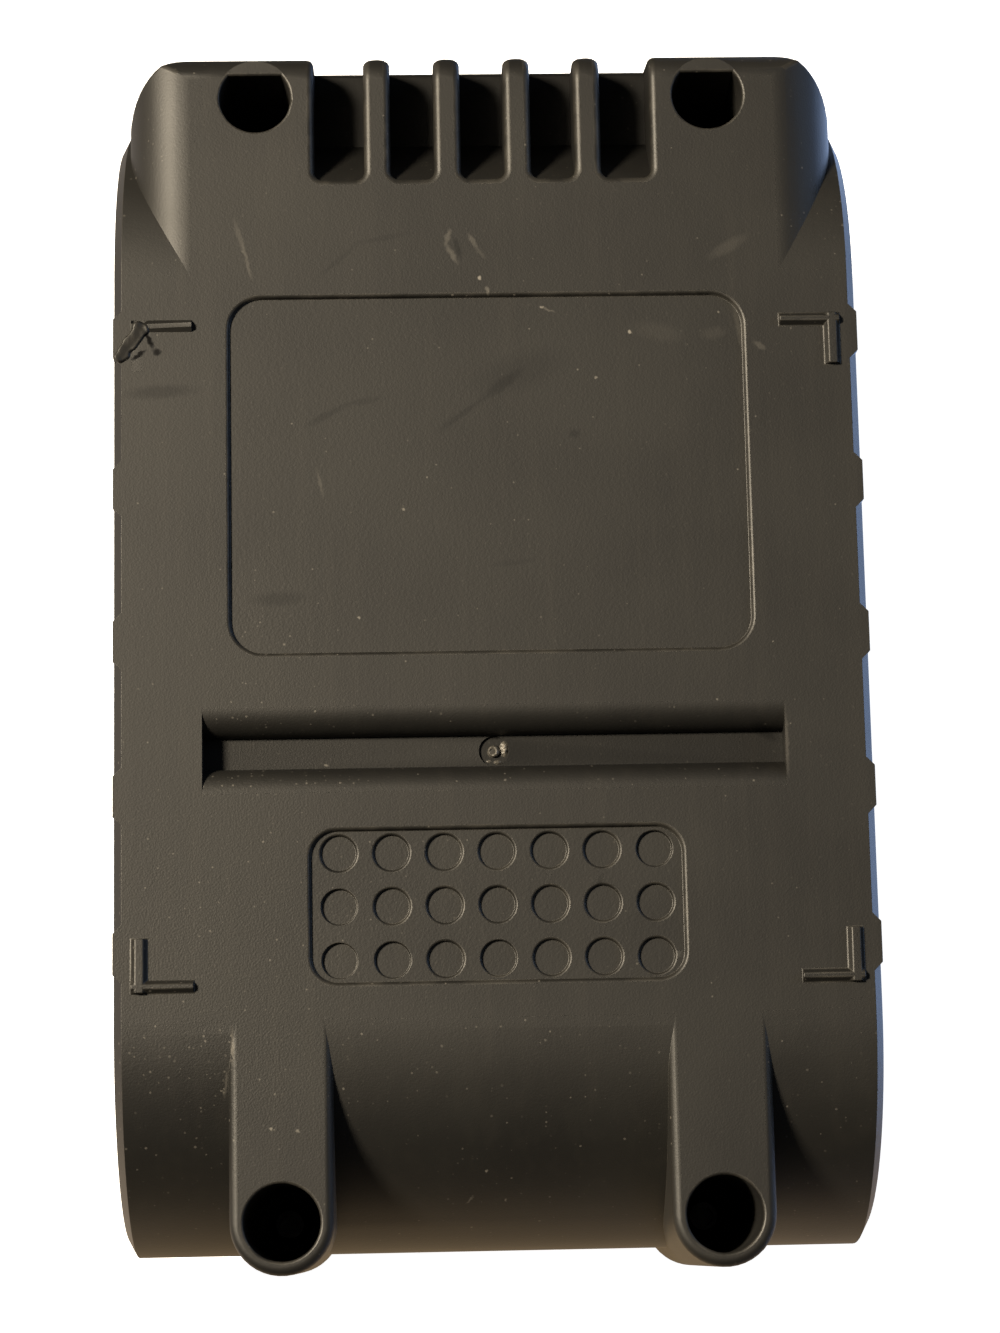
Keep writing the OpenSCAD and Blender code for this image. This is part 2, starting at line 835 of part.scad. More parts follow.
// Cross-section of a raised mark, from its outer side at 0 in to its width
module mark_section(w) {
    polygon([[0, -mark_h], [w, -mark_h], [w, 0], [w - mark_slope, mark_h], [mark_slope, mark_h], [0, 0]]);
}

// Raised L with its outer corner at (x, y) and its arms running in towards the middle
module l_mark(x, y, side) {
    translate([x, y, base_z])
        scale_y(side) {
            prism_x(-mark_lx, 0)
                mark_section(mark_wx);
            mirror([1, 0, 0])
                prism_y(0, mark_ly)
                    mark_section(mark_wy);
        }
}

// Turns a shape drawn towards +Y over to -Y where side is negative
module scale_y(side) {
    if (side > 0)
        children();
    else
        mirror([0, 1, 0])
            children();
}

module screw_holes() {
    for (x = [-post_x, post_x])
        bar([x, post_y], post_hole_d / 2, seat_z, base_z + eps);
    for (x = [-tail_hole_x, tail_hole_x])
        tail_hole([x, tail_hole_y]);
    for (spot = screw_spots)
        bar(spot, screw_r + screw_fit, split_z - eps, seat_z + eps);
}

// Round hole with a flat on the side of the end wall
module tail_hole(spot) {
    r = tail_hole_d / 2;
    flat_y = spot[1] + tail_flat;
    difference() {
        bar(spot, r, seat_z, base_z + eps);
        block(spot[0] - r, spot[0] + r, flat_y, spot[1] + r + eps, seat_z - eps, base_z + 2 * eps);
    }
}

module lower_case() {
    color(case_black) {
        difference() {
            union() {
                difference() {
                    lower_outer();
                    lower_cavity();
                }
                lower_bosses();
                lower_inside();
            }
            screw_holes();
            vent_slots();
            grip_groove();
            label_recess();
            dimple_panel();
        }
        both_sides() {
            l_mark(half_w - mark_side, flat_nose + mark_nose, 1);
            l_mark(half_w - mark_side, flat_tail - mark_tail, -1);
        }
    }
}

// The upper shell without its rails: an upright wall, rounded over to the deck
module upper_outer() {
    intersection() {
        prism_y(nose_y, tail_y)
            mirror([0, 1])
                round_top(half_w, -split_z, -rail_h, deck_r);
        prism_x(-half_w, half_w)
            difference() {
                translate([nose_y, rail_h])
                    square([body_l, split_z - rail_h]);
                translate([0, rail_h + split_z])
                    mirror([0, 1]) {
                        corner_cut(tail_y, split_z, deck_r);
                        mirror([1, 0])
                            corner_cut(-nose_y, split_z, deck_r);
                    }
            }
        prism_z(rail_h, split_z) {
            shell_plan();
            end_block_plan(0);
        }
    }
    stub_h = 8;
    stub_z = split_z - 2 * stub_h;
    for (x = [-post_x, post_x]) {
        bar([x, post_y], post_r, stub_z + stub_h, split_z);
        translate([x, post_y, stub_z])
            cylinder(r1 = post_r - post_over - eps, r2 = post_r, h = stub_h);
    }
}

module upper_cavity() {
    prism_z(deck_in, split_z + eps)
        inside_plan(wall);
}

// Rests on the side walls, level with the lowest line of each holder
module cell_rests() {
    both_sides()
        for (i = [0 : columns - 1])
            block(
                strip_x - rest_w, half_w - wall / 2, column_y(i) - rest_half, column_y(i) + rest_half,
                deck_in - wall / 2, rest_z
            );
}

// The two T-shaped rails with the hollow block between them that takes the tool's blades
module slide_rails() {
    prism_y(rail_y0, rail_y1)
        polygon([
            [-neck_half, deck_in], [-neck_half, rail_lip_t], [-rail_w / 2, rail_lip_t], [-rail_w / 2, 0],
            [rail_w / 2, 0], [rail_w / 2, rail_lip_t], [neck_half, rail_lip_t], [neck_half, deck_in]
        ]);
}

// Corners cut off the lips so that a tool finds the grooves
module rail_lead_ins() {
    both_sides()
        prism_z(-eps, rail_lip_t + eps) {
            polygon([
                [rail_w / 2 - rail_lead, rail_y1], [rail_w / 2 + eps, rail_y1 - rail_lead - eps],
                [rail_w / 2 + eps, rail_y1 + eps], [rail_w / 2 - rail_lead, rail_y1 + eps]
            ]);
            polygon([
                [rail_w / 2 - rail_lead, rail_y0], [rail_w / 2 + eps, rail_y0 + rail_lead + eps],
                [rail_w / 2 + eps, rail_y0 - eps], [rail_w / 2 - rail_lead, rail_y0 - eps]
            ]);
        }
}

module terminal_slots() {
    for (x = terminal_spots)
        block(
            x - terminal_slot_w / 2, x + terminal_slot_w / 2, block_y0 + block_back, rail_y1 + eps,
            -eps, rail_h - slot_skin
        );
}

module release_opening() {
    block(
        -pad_w / 2 - slide_fit, pad_w / 2 + slide_fit, pad_y0 - slide_fit, pad_y1 + slide_fit,
        rail_h - eps, deck_in + eps
    );
    block(
        -tongue_w / 2 - slide_fit, tongue_w / 2 + slide_fit, pad_y1, tongue_y1 + slide_fit,
        rail_h - eps, deck_in + eps
    );
}

// Openings for the gauge lens and the gauge button in the end wall
module gauge_openings() {
    prism_y(tail_in - eps, tail_y + eps) {
        translate([lens_x, gauge_z])
            square([lens_w + 2 * seat_fit, lens_h + 2 * seat_fit], center = true);
        translate([gauge_button_x, gauge_z])
            circle(gauge_button_r + slide_fit);
    }
}

// Guides on the end wall that hold the gauge board by its two edges
module gauge_guides() {
    both_sides()
        difference() {
            block(
                gauge_half - guide_lap, gauge_half - guide_lap + guide_w,
                gauge_back - guide_back, tail_y - wall / 2, deck_in - wall / 2, gauge_high
            );
            block(
                gauge_half - guide_lap - eps, gauge_half + seat_fit,
                gauge_back - seat_fit / 2, gauge_front + seat_fit / 2, gauge_low, gauge_high + eps
            );
        }
}

// Locating lip inside the parting line, cut clear of the lower case's bosses and of the cards
module parting_lip() {
    foot_h = 2;
    lip_in = wall + seat_fit;
    difference() {
        union() {
            prism_z(split_z - foot_h, split_z)
                lip_ring(wall / 2, lip_in + lip_t);
            prism_z(split_z, split_z + lip_h)
                lip_ring(lip_in, lip_in + lip_t);
        }
        for (x = [-post_x, post_x])
            bar([x, post_y], post_r + slide_fit, split_z, split_z + lip_h + eps);
        for (x = [-tail_hole_x, tail_hole_x])
            bar([x, tail_hole_y], tail_boss_r + slide_fit, split_z, split_z + lip_h + eps);
        block(
            -half_w, half_w, flat_tail - eps, column_y(columns - 1) + card_r + slide_fit,
            split_z - foot_h - eps, split_z + lip_h + eps
        );
    }
}

module lip_ring(outer, inner) {
    difference() {
        inside_plan(outer);
        inside_plan(inner);
    }
}

module side_flutes() {
    flute_pitch = (flat_tail - flat_nose) / flute_count;
    first = flat_mid - (flute_count - 1) * flute_pitch / 2;
    mid_z = (rail_h + deck_r + split_z) / 2;
    both_sides()
        for (i = [0 : flute_count - 1])
            prism_x(half_w - flute_depth, half_w + eps)
                translate([first + i * flute_pitch, mid_z]) {
                    square([flute_w, flute_h - flute_w], center = true);
                    for (s = [-1, 1])
                        translate([0, s * (flute_h - flute_w) / 2])
                            circle(flute_w / 2);
                }
}

module upper_case() {
    color(case_black)
        difference() {
            union() {
                difference() {
                    upper_outer();
                    upper_cavity();
                }
                slide_rails();
                intersection() {
                    for (spot = screw_spots)
                        bar(spot, pillar_r, deck_in - wall / 2, split_z);
                    upper_outer();
                }
                for (spot = board_spots)
                    bar(spot, board_boss_r, deck_in - wall / 2, board_z);
                cell_rests();
                gauge_guides();
                parting_lip();
            }
            block(
                -hollow_half, hollow_half, rail_y0 + wall, rail_y1 - wall,
                wall, deck_in + eps
            );
            rail_lead_ins();
            terminal_slots();
            release_opening();
            gauge_openings();
            side_flutes();
            for (spot = screw_spots)
                bar(spot, screw_r + screw_fit, seat_z - screw_l - pilot_room, split_z + eps);
            for (spot = board_spots)
                bar(spot, board_screw_r + screw_fit, deck_in, board_z + eps);
        }
}

// One cell along X, with its raised contact at +X
module cell_body() {
    r = cell_d / 2;
    half = cell_l / 2;
    edge = 0.6;
    crimp_r = r - 1.4;
    cap_r = 4;
    cap_h = 0.9;
    rotate([0, 90, 0])
        rotate_extrude()
            polygon([
                [0, -half], [r - edge, -half], [r, edge - half], [r, half - cap_h - edge],
                [r - edge, half - cap_h], [crimp_r, half - cap_h], [crimp_r, half - 2 * cap_h],
                [cap_r + edge, half - 2 * cap_h], [cap_r, half], [0, half]
            ]);
}

// Cell number i: odd columns point their raised contact the other way
module cell(i) {
    column = floor((i - 1) / layers);
    layer = (i - 1) % layers;
    color(cell_wrap)
        translate([0, column_y(column), layer_z[layer]])
            if (column % 2 == 0)
                cell_body();
            else
                mirror([1, 0, 0])
                    cell_body();
}

// Circles of radius r round every cell's axis, drawn in Y and Z
module cell_circles(r) {
    for (i = [0 : columns - 1], z = layer_z)
        translate([column_y(i), z])
            circle(r);
}

module cell_holder_right() {
    color(holder_grey)
        prism_x(strip_x - holder_depth, strip_x)
            difference() {
                cell_circles(holder_r);
                cell_circles(bore_r);
            }
}

module cell_holder_left() {
    mirror([1, 0, 0])
        cell_holder_right();
}

// Strip on the +X ends, over the columns from first to last, with its tab bent in over the board
module strip_plate(first, last) {
    slit_w = 1;
    slit_l = 6;
    lug_l = 2;
    low = low_z - strip_reach;
    tab_y = column_y(first) + rest_half + slide_fit;
    color(nickel) {
        prism_x(strip_x, strip_x + strip_t) {
            difference() {
                translate([column_y(first) - strip_reach, low])
                    square([column_y(last) - column_y(first) + 2 * strip_reach, pitch + 2 * strip_reach]);
                for (i = [first : last], z = layer_z)
                    translate([column_y(i), z])
                        square([slit_w, slit_l], center = true);
            }
            translate([tab_y, board_top])
                square([tab_w, low - board_top + eps]);
        }
        block(board_half - lug_l, strip_x + strip_t, tab_y, tab_y + tab_w, board_top, board_top + strip_t);
    }
}

// The right side joins columns in pairs from the first, the left side from the second
module strip_right(i) {
    first = 2 * (i - 1);
    strip_plate(first, min(first + 1, columns - 1));
}

module strip_left(i) {
    first = max(0, 2 * (i - 1) - 1);
    mirror([1, 0, 0])
        strip_plate(first, min(2 * (i - 1), columns - 1));
}

// Card with round corners over the ends of all the cells
module insulator_right() {
    color(card_paper)
        prism_x(card_x, card_x + card_t)
            translate([(column_y(0) + column_y(columns - 1)) / 2, (low_z + top_z) / 2])
                round_rect((columns - 1) * pitch + cell_d, pitch + cell_d, card_r);
}

module insulator_left() {
    mirror([1, 0, 0])
        insulator_right();
}

// Board with two arms beside the release button and a neck out to the gauge board
module control_board() {
    neck_end = gauge_back - slide_fit;
    neck_half_w = gauge_half - guide_lap - board_room;
    arm_x = flange_half + board_room;
    arm_y = column_y(0);
    color(board_green)
        difference() {
            prism_z(board_z, board_top) {
                translate([-board_half, board_y0])
                    square([2 * board_half, board_y1 - board_y0]);
                for (x = [-board_half, arm_x])
                    translate([x, arm_y])
                        square([board_half - arm_x, board_y0 + eps - arm_y]);
                translate([-neck_half_w, board_y1 - eps])
                    square([2 * neck_half_w, neck_end - board_y1 + eps]);
            }
            for (spot = board_spots)
                bar(spot, board_screw_r + screw_fit, board_z - eps, board_top + eps);
        }
}

// Cell monitor under the board, with its body and two rows of legs
module monitor_chip() {
    leg_w = 0.5;
    leg_l = 1.2;
    leg_h = 0.5;
    leg_count = 6;
    leg_pitch = 1.27;
    color(chip_black) {
        block(
            -chip_w / 2, chip_w / 2, chip_y - chip_w / 2, chip_y + chip_w / 2,
            board_z - chip_h, board_z
        );
        both_sides()
            for (i = [0 : leg_count - 1])
                translate([chip_w / 2, chip_y + (i - (leg_count - 1) / 2) * leg_pitch, board_z - leg_h])
                    translate([0, -leg_w / 2, 0])
                        cube([leg_l, leg_w, leg_h]);
    }
}

module board_capacitors() {
    can_r = 1.6;
    can_h = 2.6;
    can_pitch = 5;
    can_count = 3;
    can_side = 5;
    color(steel)
        both_sides()
            for (i = [0 : can_count - 1])
                bar(
                    [chip_w / 2 + can_side, chip_y + (i - (can_count - 1) / 2) * can_pitch],
                    can_r, board_z - can_h, board_z
                );
}

// Temperature bead on two legs, just under a cell of the middle column
module thermistor() {
    bead_r = 1.1;
    leg_r = 0.3;
    leg_gap = 0.6;
    bead_top = low_z - cell_d / 2 - slide_fit;
    y = column_y(floor(columns / 2));
    color(copper) {
        translate([0, y, bead_top - bead_r])
            sphere(bead_r);
        for (s = [-1, 1])
            bar([s * leg_gap, y], leg_r, board_top, bead_top - bead_r);
    }
}

// Screw with a domed head on a seat at height z and a hexagon socket, pointing down
module screw(spot, z, r, length, cap_r, cap_h) {
    socket_r = cap_r / 2;
    top_r = cap_r - cap_h / 3;
    side_h = cap_h / 2;
    translate([spot[0], spot[1], z])
        difference() {
            rotate_extrude()
                polygon([
                    [0, -length], [r / 3, -length], [r, r - length], [r, 0], [cap_r, 0],
                    [cap_r, side_h], [top_r, cap_h], [0, cap_h]
                ]);
            translate([0, 0, cap_h / 2])
                cylinder(r = socket_r, h = cap_h, $fn = 6);
        }
}

module case_screws() {
    color(steel)
        for (spot = screw_spots)
            screw(spot, seat_z, screw_r, screw_l, head_r, screw_head_h);
}

module board_screws() {
    color(steel)
        for (spot = board_spots)
            screw(spot, board_top, board_screw_r, board_screw_l, board_head_r, board_head_h);
}

module terminal_block() {
    color(chip_black)
        difference() {
            block(-block_half_w, block_half_w, block_y0, block_y1, block_z, board_z);
            for (x = terminal_spots) {
                block(
                    x - pocket_w / 2, x + pocket_w / 2,
                    contact_y0 - pocket_end, contact_y0 + power_contact_l + pocket_end,
                    block_z - eps, board_z + eps
                );
                block(
                    x - terminal_slot_w / 2, x + terminal_slot_w / 2, contact_y0, block_y1 + eps,
                    block_z - eps, board_z - block_bridge
                );
            }
        }
}

// Contact of two leaves on a common foot that is soldered under the board
module contact(x, length) {
    foot_t = 0.8;
    half = contact_gap / 2 + contact_t;
    color(copper)
        prism_y(contact_y0, contact_y0 + length)
            translate([x, 0])
                polygon([
                    [-half, board_z], [-half, contact_z], [-contact_gap / 2, contact_z],
                    [-contact_gap / 2, board_z - foot_t], [contact_gap / 2, board_z - foot_t],
                    [contact_gap / 2, contact_z], [half, contact_z], [half, board_z]
                ]);
}

module terminal_plus() {
    contact(terminal_spots[4], power_contact_l);
}

module terminal_minus() {
    contact(terminal_spots[0], power_contact_l);
}

module signal_terminals() {
    for (i = [1 : 3])
        contact(terminal_spots[i], signal_contact_l);
}

// Button pad, latch tongue and flange in one moulding
module release_button() {
    pad_z = rail_h - pad_proud;
    pad_edge = 0.8;
    tip_z = rail_h - tongue_h;
    tip_l = tongue_l / 4;
    ridge_gap = pad_l / (pad_ridges + 1);
    color(button_grey) {
        prism_y(pad_y0, pad_y1)
            mirror([0, 1])
                round_top(pad_w / 2, -flange_top, -pad_z, pad_edge);
        prism_x(-tongue_w / 2, tongue_w / 2)
            polygon([
                [tongue_y0, flange_top], [tongue_y0, tip_z], [tongue_y0 + tip_l, tip_z],
                [tongue_y1, rail_h + slide_fit], [tongue_y1, flange_top]
            ]);
        block(-flange_half, flange_half, flange_y0, flange_y1, flange_z, flange_top);
        for (x = [-spring_x, spring_x])
            bar([x, spring_y], peg_r, flange_top - eps, flange_top + peg_h);
        for (i = [1 : pad_ridges])
            translate([0, pad_y0 + i * ridge_gap, pad_z])
                rotate([0, 90, 0])
                    cylinder(r = ridge_h, h = pad_w - 2 * ridge_in, center = true);
    }
}

// Tube along the path of one spring's wire
module spring() {
    points = [
        for (i = [0 : spring_rings], k = [0 : spring_sides - 1])
            let (a = 360 * i / spring_steps, t = 360 * k / spring_sides, w = spring_wire / 2)
                spring_path[i] + w * [cos(t) * cos(a), cos(t) * sin(a), sin(t)]
    ];
    walls = [
        for (i = [0 : spring_rings - 1], k = [0 : spring_sides - 1], half = [0, 1])
            let (a = i * spring_sides, b = a + spring_sides, n = (k + 1) % spring_sides)
                half == 0 ? [a + k, b + k, b + n] : [a + k, b + n, a + n]
    ];
    last = spring_rings * spring_sides;
    caps = [
        for (k = [1 : spring_sides - 2], end = [0, 1])
            end == 0 ? [0, k, k + 1] : [last, last + k + 1, last + k]
    ];
    polyhedron(points, concat(walls, caps), convexity = 6);
}

module release_springs() {
    color(steel)
        for (x = [-spring_x, spring_x])
            translate([x, spring_y, flange_top + spring_end_gap + spring_wire / 2])
                spring();
}

module gauge_board() {
    color(board_green)
        block(-gauge_half, gauge_half, gauge_back, gauge_front, gauge_low + seat_fit, gauge_high);
}

module gauge_leds() {
    led_w = 2;
    led_side = 1;
    led_pitch = (lens_w - 2 * led_side) / led_count;
    color(led_white)
        translate([lens_x, gauge_front, gauge_z])
            for (i = [0 : led_count - 1])
                translate([(i - (led_count - 1) / 2) * led_pitch - led_w / 2, 0, -led_w / 2])
                    cube([led_w, led_h, led_w]);
}

module gauge_switch() {
    switch_w = 4;
    color(chip_black)
        block(
            gauge_button_x - switch_w / 2, gauge_button_x + switch_w / 2, gauge_front, gauge_front + switch_h,
            gauge_z - switch_w / 2, gauge_z + switch_w / 2
        );
}

module gauge_lens() {
    color(lens_smoke)
        translate([lens_x, 0, gauge_z]) {
            block(-lens_w / 2, lens_w / 2, tail_in - eps, tail_y - gauge_recess, -lens_h / 2, lens_h / 2);
            block(
                -lens_w / 2 - lens_flange, lens_w / 2 + lens_flange, tail_in - lens_flange_t, tail_in,
                -lens_h / 2 - lens_flange, lens_h / 2 + lens_flange
            );
        }
}

// Round cap through the end wall, with a flange inside that keeps it in
module gauge_button() {
    flange_r = gauge_button_r + slide_fit + button_lap;
    flange_y = tail_in - slide_fit;
    face_y = tail_y - gauge_recess;
    dish_r = 8;
    dish_depth = 0.4;
    color(button_grey)
        translate([gauge_button_x, 0, gauge_z])
            difference() {
                rotate([-90, 0, 0])
                    rotate_extrude()
                        polygon([
                            [0, flange_y - button_flange_t], [flange_r, flange_y - button_flange_t],
                            [flange_r, flange_y], [gauge_button_r, flange_y],
                            [gauge_button_r, face_y - button_edge],
                            [gauge_button_r - button_edge, face_y], [0, face_y]
                        ]);
                translate([0, face_y + dish_r - dish_depth, 0])
                    sphere(dish_r);
            }
}

lower_case();
upper_case();
cell_holder_left();
cell_holder_right();
for (i = [1 : cell_count]) cell(i);
for (i = [1 : left_strips]) strip_left(i);
for (i = [1 : right_strips]) strip_right(i);
insulator_left();
insulator_right();
control_board();
monitor_chip();
board_capacitors();
thermistor();
board_screws();
terminal_block();
terminal_plus();
terminal_minus();
signal_terminals();
release_button();
release_springs();
gauge_board();
gauge_leds();
gauge_switch();
gauge_lens();
gauge_button();
case_screws();
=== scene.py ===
import json
import math

import bmesh
import bpy
from mathutils import Matrix, Vector, noise
from mathutils.bvhtree import BVHTree


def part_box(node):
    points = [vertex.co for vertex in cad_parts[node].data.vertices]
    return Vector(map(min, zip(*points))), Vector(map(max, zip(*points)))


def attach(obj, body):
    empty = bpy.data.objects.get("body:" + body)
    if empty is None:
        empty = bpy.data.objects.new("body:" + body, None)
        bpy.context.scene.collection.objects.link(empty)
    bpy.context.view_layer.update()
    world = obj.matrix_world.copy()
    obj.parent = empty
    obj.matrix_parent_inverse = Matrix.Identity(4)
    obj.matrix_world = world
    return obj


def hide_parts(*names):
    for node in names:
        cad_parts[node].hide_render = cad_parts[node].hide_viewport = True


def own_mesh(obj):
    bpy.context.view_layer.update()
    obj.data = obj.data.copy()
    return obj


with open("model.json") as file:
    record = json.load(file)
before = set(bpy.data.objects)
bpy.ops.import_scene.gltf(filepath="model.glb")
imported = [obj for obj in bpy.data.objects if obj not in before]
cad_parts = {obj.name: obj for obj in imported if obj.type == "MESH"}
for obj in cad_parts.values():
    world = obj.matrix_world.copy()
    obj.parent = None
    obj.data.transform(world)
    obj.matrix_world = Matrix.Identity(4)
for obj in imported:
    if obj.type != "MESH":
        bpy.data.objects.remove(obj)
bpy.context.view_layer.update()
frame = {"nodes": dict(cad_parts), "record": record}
nodes = frame["nodes"]
scene = bpy.context.scene
mm = 0.001
print("frame loaded,", len(nodes), "nodes")


def toLinear(hexColour):
    parts = [int(hexColour[i:i + 2], 16) / 255 for i in (1, 3, 5)]
    return [p / 12.92 if p <= 0.04045 else ((p + 0.055) / 1.055) ** 2.4 for p in parts] + [1]


def addNode(tree, kind, inputs=None, **settings):
    node = tree.nodes.new("ShaderNode" + kind)
    for name, value in settings.items():
        setattr(node, name, value)
    for name, value in (inputs or {}).items():
        if isinstance(value, bpy.types.NodeSocket):
            tree.links.new(value, node.inputs[name])
        else:
            node.inputs[name].default_value = value
    return node


def startMaterial(name, fixed):
    material = bpy.data.materials.new(name)
    material.use_nodes = True
    tree = material.node_tree
    shader = tree.nodes["Principled BSDF"]
    for socket, value in fixed.items():
        shader.inputs[socket].default_value = value
    place = addNode(tree, "TexCoord").outputs["Object"]
    return material, tree, shader, place


# worn spots on the underside, with painted highlights among them, in mm: x, y, z, length, width, turn in degrees,
# strength
paleScuffsAndHighlights = [
    (-3.72, 41.61, 62, 2.2, 0.7, 72, 0.09), (-3.36, 39.85, 62, 3.0, 0.7, -61, 0.09),   # crescent by the vents
    (-1.2, 41.2, 62, 2.0, 0.6, -58, 0.08), (-0.5, 40.0, 62, 2.2, 0.5, -52, 0.04),
    (-0.53, 37.27, 62, 0.5, 0.45, 0, 0.42), (0.2, 35.92, 62, 1.3, 0.4, -73, 0.14),
    (5.67, 34.27, 61.6, 0.5, 0.4, 0, 0.3), (6.3, 33.98, 61.6, 1.8, 0.3, -22, 0.1),
    (-24.75, 41.8, 62, 4.6, 0.7, -74, 0.05), (-24.0, 39.2, 62, 4.6, 0.5, -76, 0.07),
    (24.66, 40.3, 62, 5.6, 1.6, 30, 0.03), (27.6, 29.88, 62, 1.8, 0.8, -36, 0.06),
    (25.52, 31.98, 61.8, 6.5, 0.8, -81, 0.04),                                         # label corner
    (17.26, 31.59, 61.5, 6.5, 2.4, -12, 0.015), (22.99, 31.36, 61.5, 3.2, 1.6, 8, 0.02),
    (14.48, 31.62, 61.5, 0.45, 0.4, 0, 0.42), (10.96, 26.9, 61.5, 0.4, 0.35, 0, 0.24),
    (-16.9, 16.3, 61.5, 3.6, 0.4, -77, 0.06), (-8.6, 13.53, 61.5, 0.45, 0.38, 0, 0.27),
    (-13.18, 2.62, 61.5, 0.4, 0.35, 0, 0.3),
    (-25.9, -39.4, 61.6, 4.6, 0.5, 92, 0.15), (-26.6, -42.9, 61, 4.0, 0.4, 80, 0.08),   # paler along the post's left edge
    (-22.27, -47.49, 62, 0.45, 0.4, 0, 0.3), (-19.67, -47.73, 62, 0.45, 0.4, 0, 0.24),
    (-16.6, -11.78, 59.2, 0.5, 0.4, 0, 0.36), (-5.1, -6.88, 61, 1.9, 0.24, 47, 0.14),
    (28.85, -10.6, 61.9, 8.0, 0.5, 90, 0.07),                                          # painted highlight on the groove's right rim, where its end wall faces the light
    (1.05, -10.35, 59.3, 0.9, 1.6, 0, 0.3), (-0.1, -10.7, 59.3, 1.3, 1.3, 0, 0.1),     # torn gate mark
    (-9.2, -49.05, 55, 0.4, 0.35, 0, 0.3), (-1.48, -51.73, 55, 0.4, 0.35, 0, 0.27),
    (0.43, -54.59, 55, 0.4, 0.35, 0, 0.27), (-3.1, -54.52, 55, 1.4, 0.24, 40, 0.14),
]
# dark spots, in the same columns: smudges, with painted shadows and shade among them
darkScuffsAndShadows = [
    # the first mark here is painted shade on the right side of the raised scratch by the vents
    (-2.75, 40.5, 62, 3.4, 0.8, 105, 0.8), (-32.8, 25.77, 62, 9.0, 1.8, 3, 0.5),
    (-33.08, 29.91, 62, 1.1, 0.9, 0, 2.0), (-33.9, 31.2, 62, 2.4, 0.6, -62, 2.6),      # painted shadow in the notch by the melted mark, here and on the next line
    (-34.9, 29.6, 62, 2.2, 0.5, 35, 2.4),
    (-14.88, 39.22, 62, 7.5, 0.7, 41, 0.35), (-10.1, 41.56, 62, 7.0, 0.8, 10, 0.35),
    (-2.76, 23.14, 61.5, 7.5, 0.9, 36, 0.5), (1.42, 26.22, 61.5, 7.0, 1.5, 37, 0.5),
    (3.3, 27.63, 61.5, 12, 5, 18, 0.35), (8.68, 21.06, 61.5, 1.6, 1.3, 0, 0.6),
    (-16.14, 23.31, 61.5, 6.0, 1.0, 28, 0.45), (-12.48, 24.67, 61.5, 5.0, 0.9, 10, 0.35),
    (-21.03, 4.61, 61.5, 7.0, 1.8, 3, 0.45), (2.28, 7.96, 61.5, 6.0, 0.8, 6, 0.3),
    # darker in the groove's upper right corner
    (27.0, -9.2, 59.8, 4.0, 1.5, -30, 0.8),
]
# where fine dust has settled, in mm: x, y, radius, share of the grains that show
dustySpots = [
    (-29, -31, 19, 0.9), (-23, -43, 11, 0.6), (-22, -11, 11, 0.6), (-10, -25, 17, 0.35), (-23, 2, 9, 0.5),
]


# the case's plastic
nylon = {
    # sizes of its patterns in mm
    "grain": 0.2, "pore": 0.45, "cloud": 16, "wipe": 1.6, "dust": 0.48, "rub": 2.5, "fray": 0.5,
    "tones": ("#12110f", "#181714"),
    "wiped": "#24221e",
    "dustTone": "#b0aa9f",
    "rubbed": "#4c4943",
    # the near black of the smudges and of the painted shadows
    "smudgeAndShadow": "#050505",
    # the pale of the scuffs and of the painted highlights
    "scuffAndHighlight": "#b5afa4",
    # the near black of the painted shade in the vents and the groove
    "paintedShade": "#0b0b0b",
    "wipeShare": 0.3,
    "dustShare": 0.2,            # share of the dust cells whose grain shows, away from the dusty spots
    "dustSize": (0.14, 0.2),     # smallest grain, in parts of a cell, and how much larger the largest is
    "dustBright": (0.02, 0.2),   # faintest and brightest grain
    "rubShare": (0.05, 0.35),
    "scuffReach": (0.9, 4),      # mm, how far up and down a scuff shows: on the flat underside and elsewhere
    "flatFrom": 60,              # mm, height from which the underside is flat
    "roughness": (0.53, 0.57),
    "polish": -0.04,             # what rubbing adds to the roughness of an edge
    "dulling": 0.12,             # what a smudge, and a painted shadow, adds to the roughness
    "smudgeAndShadowLoss": -1.2,          # and takes, as often, from the specular level
    "specular": (0.5, 0.12),     # clean and under grime
    "poreRelief": (0.2, 0.02),   # clean, and under the full painted shade
    "grainRelief": (0.2, 0.35),  # strength, and what settled dust adds to it
    "grainDepth": 0.05,          # mm
}


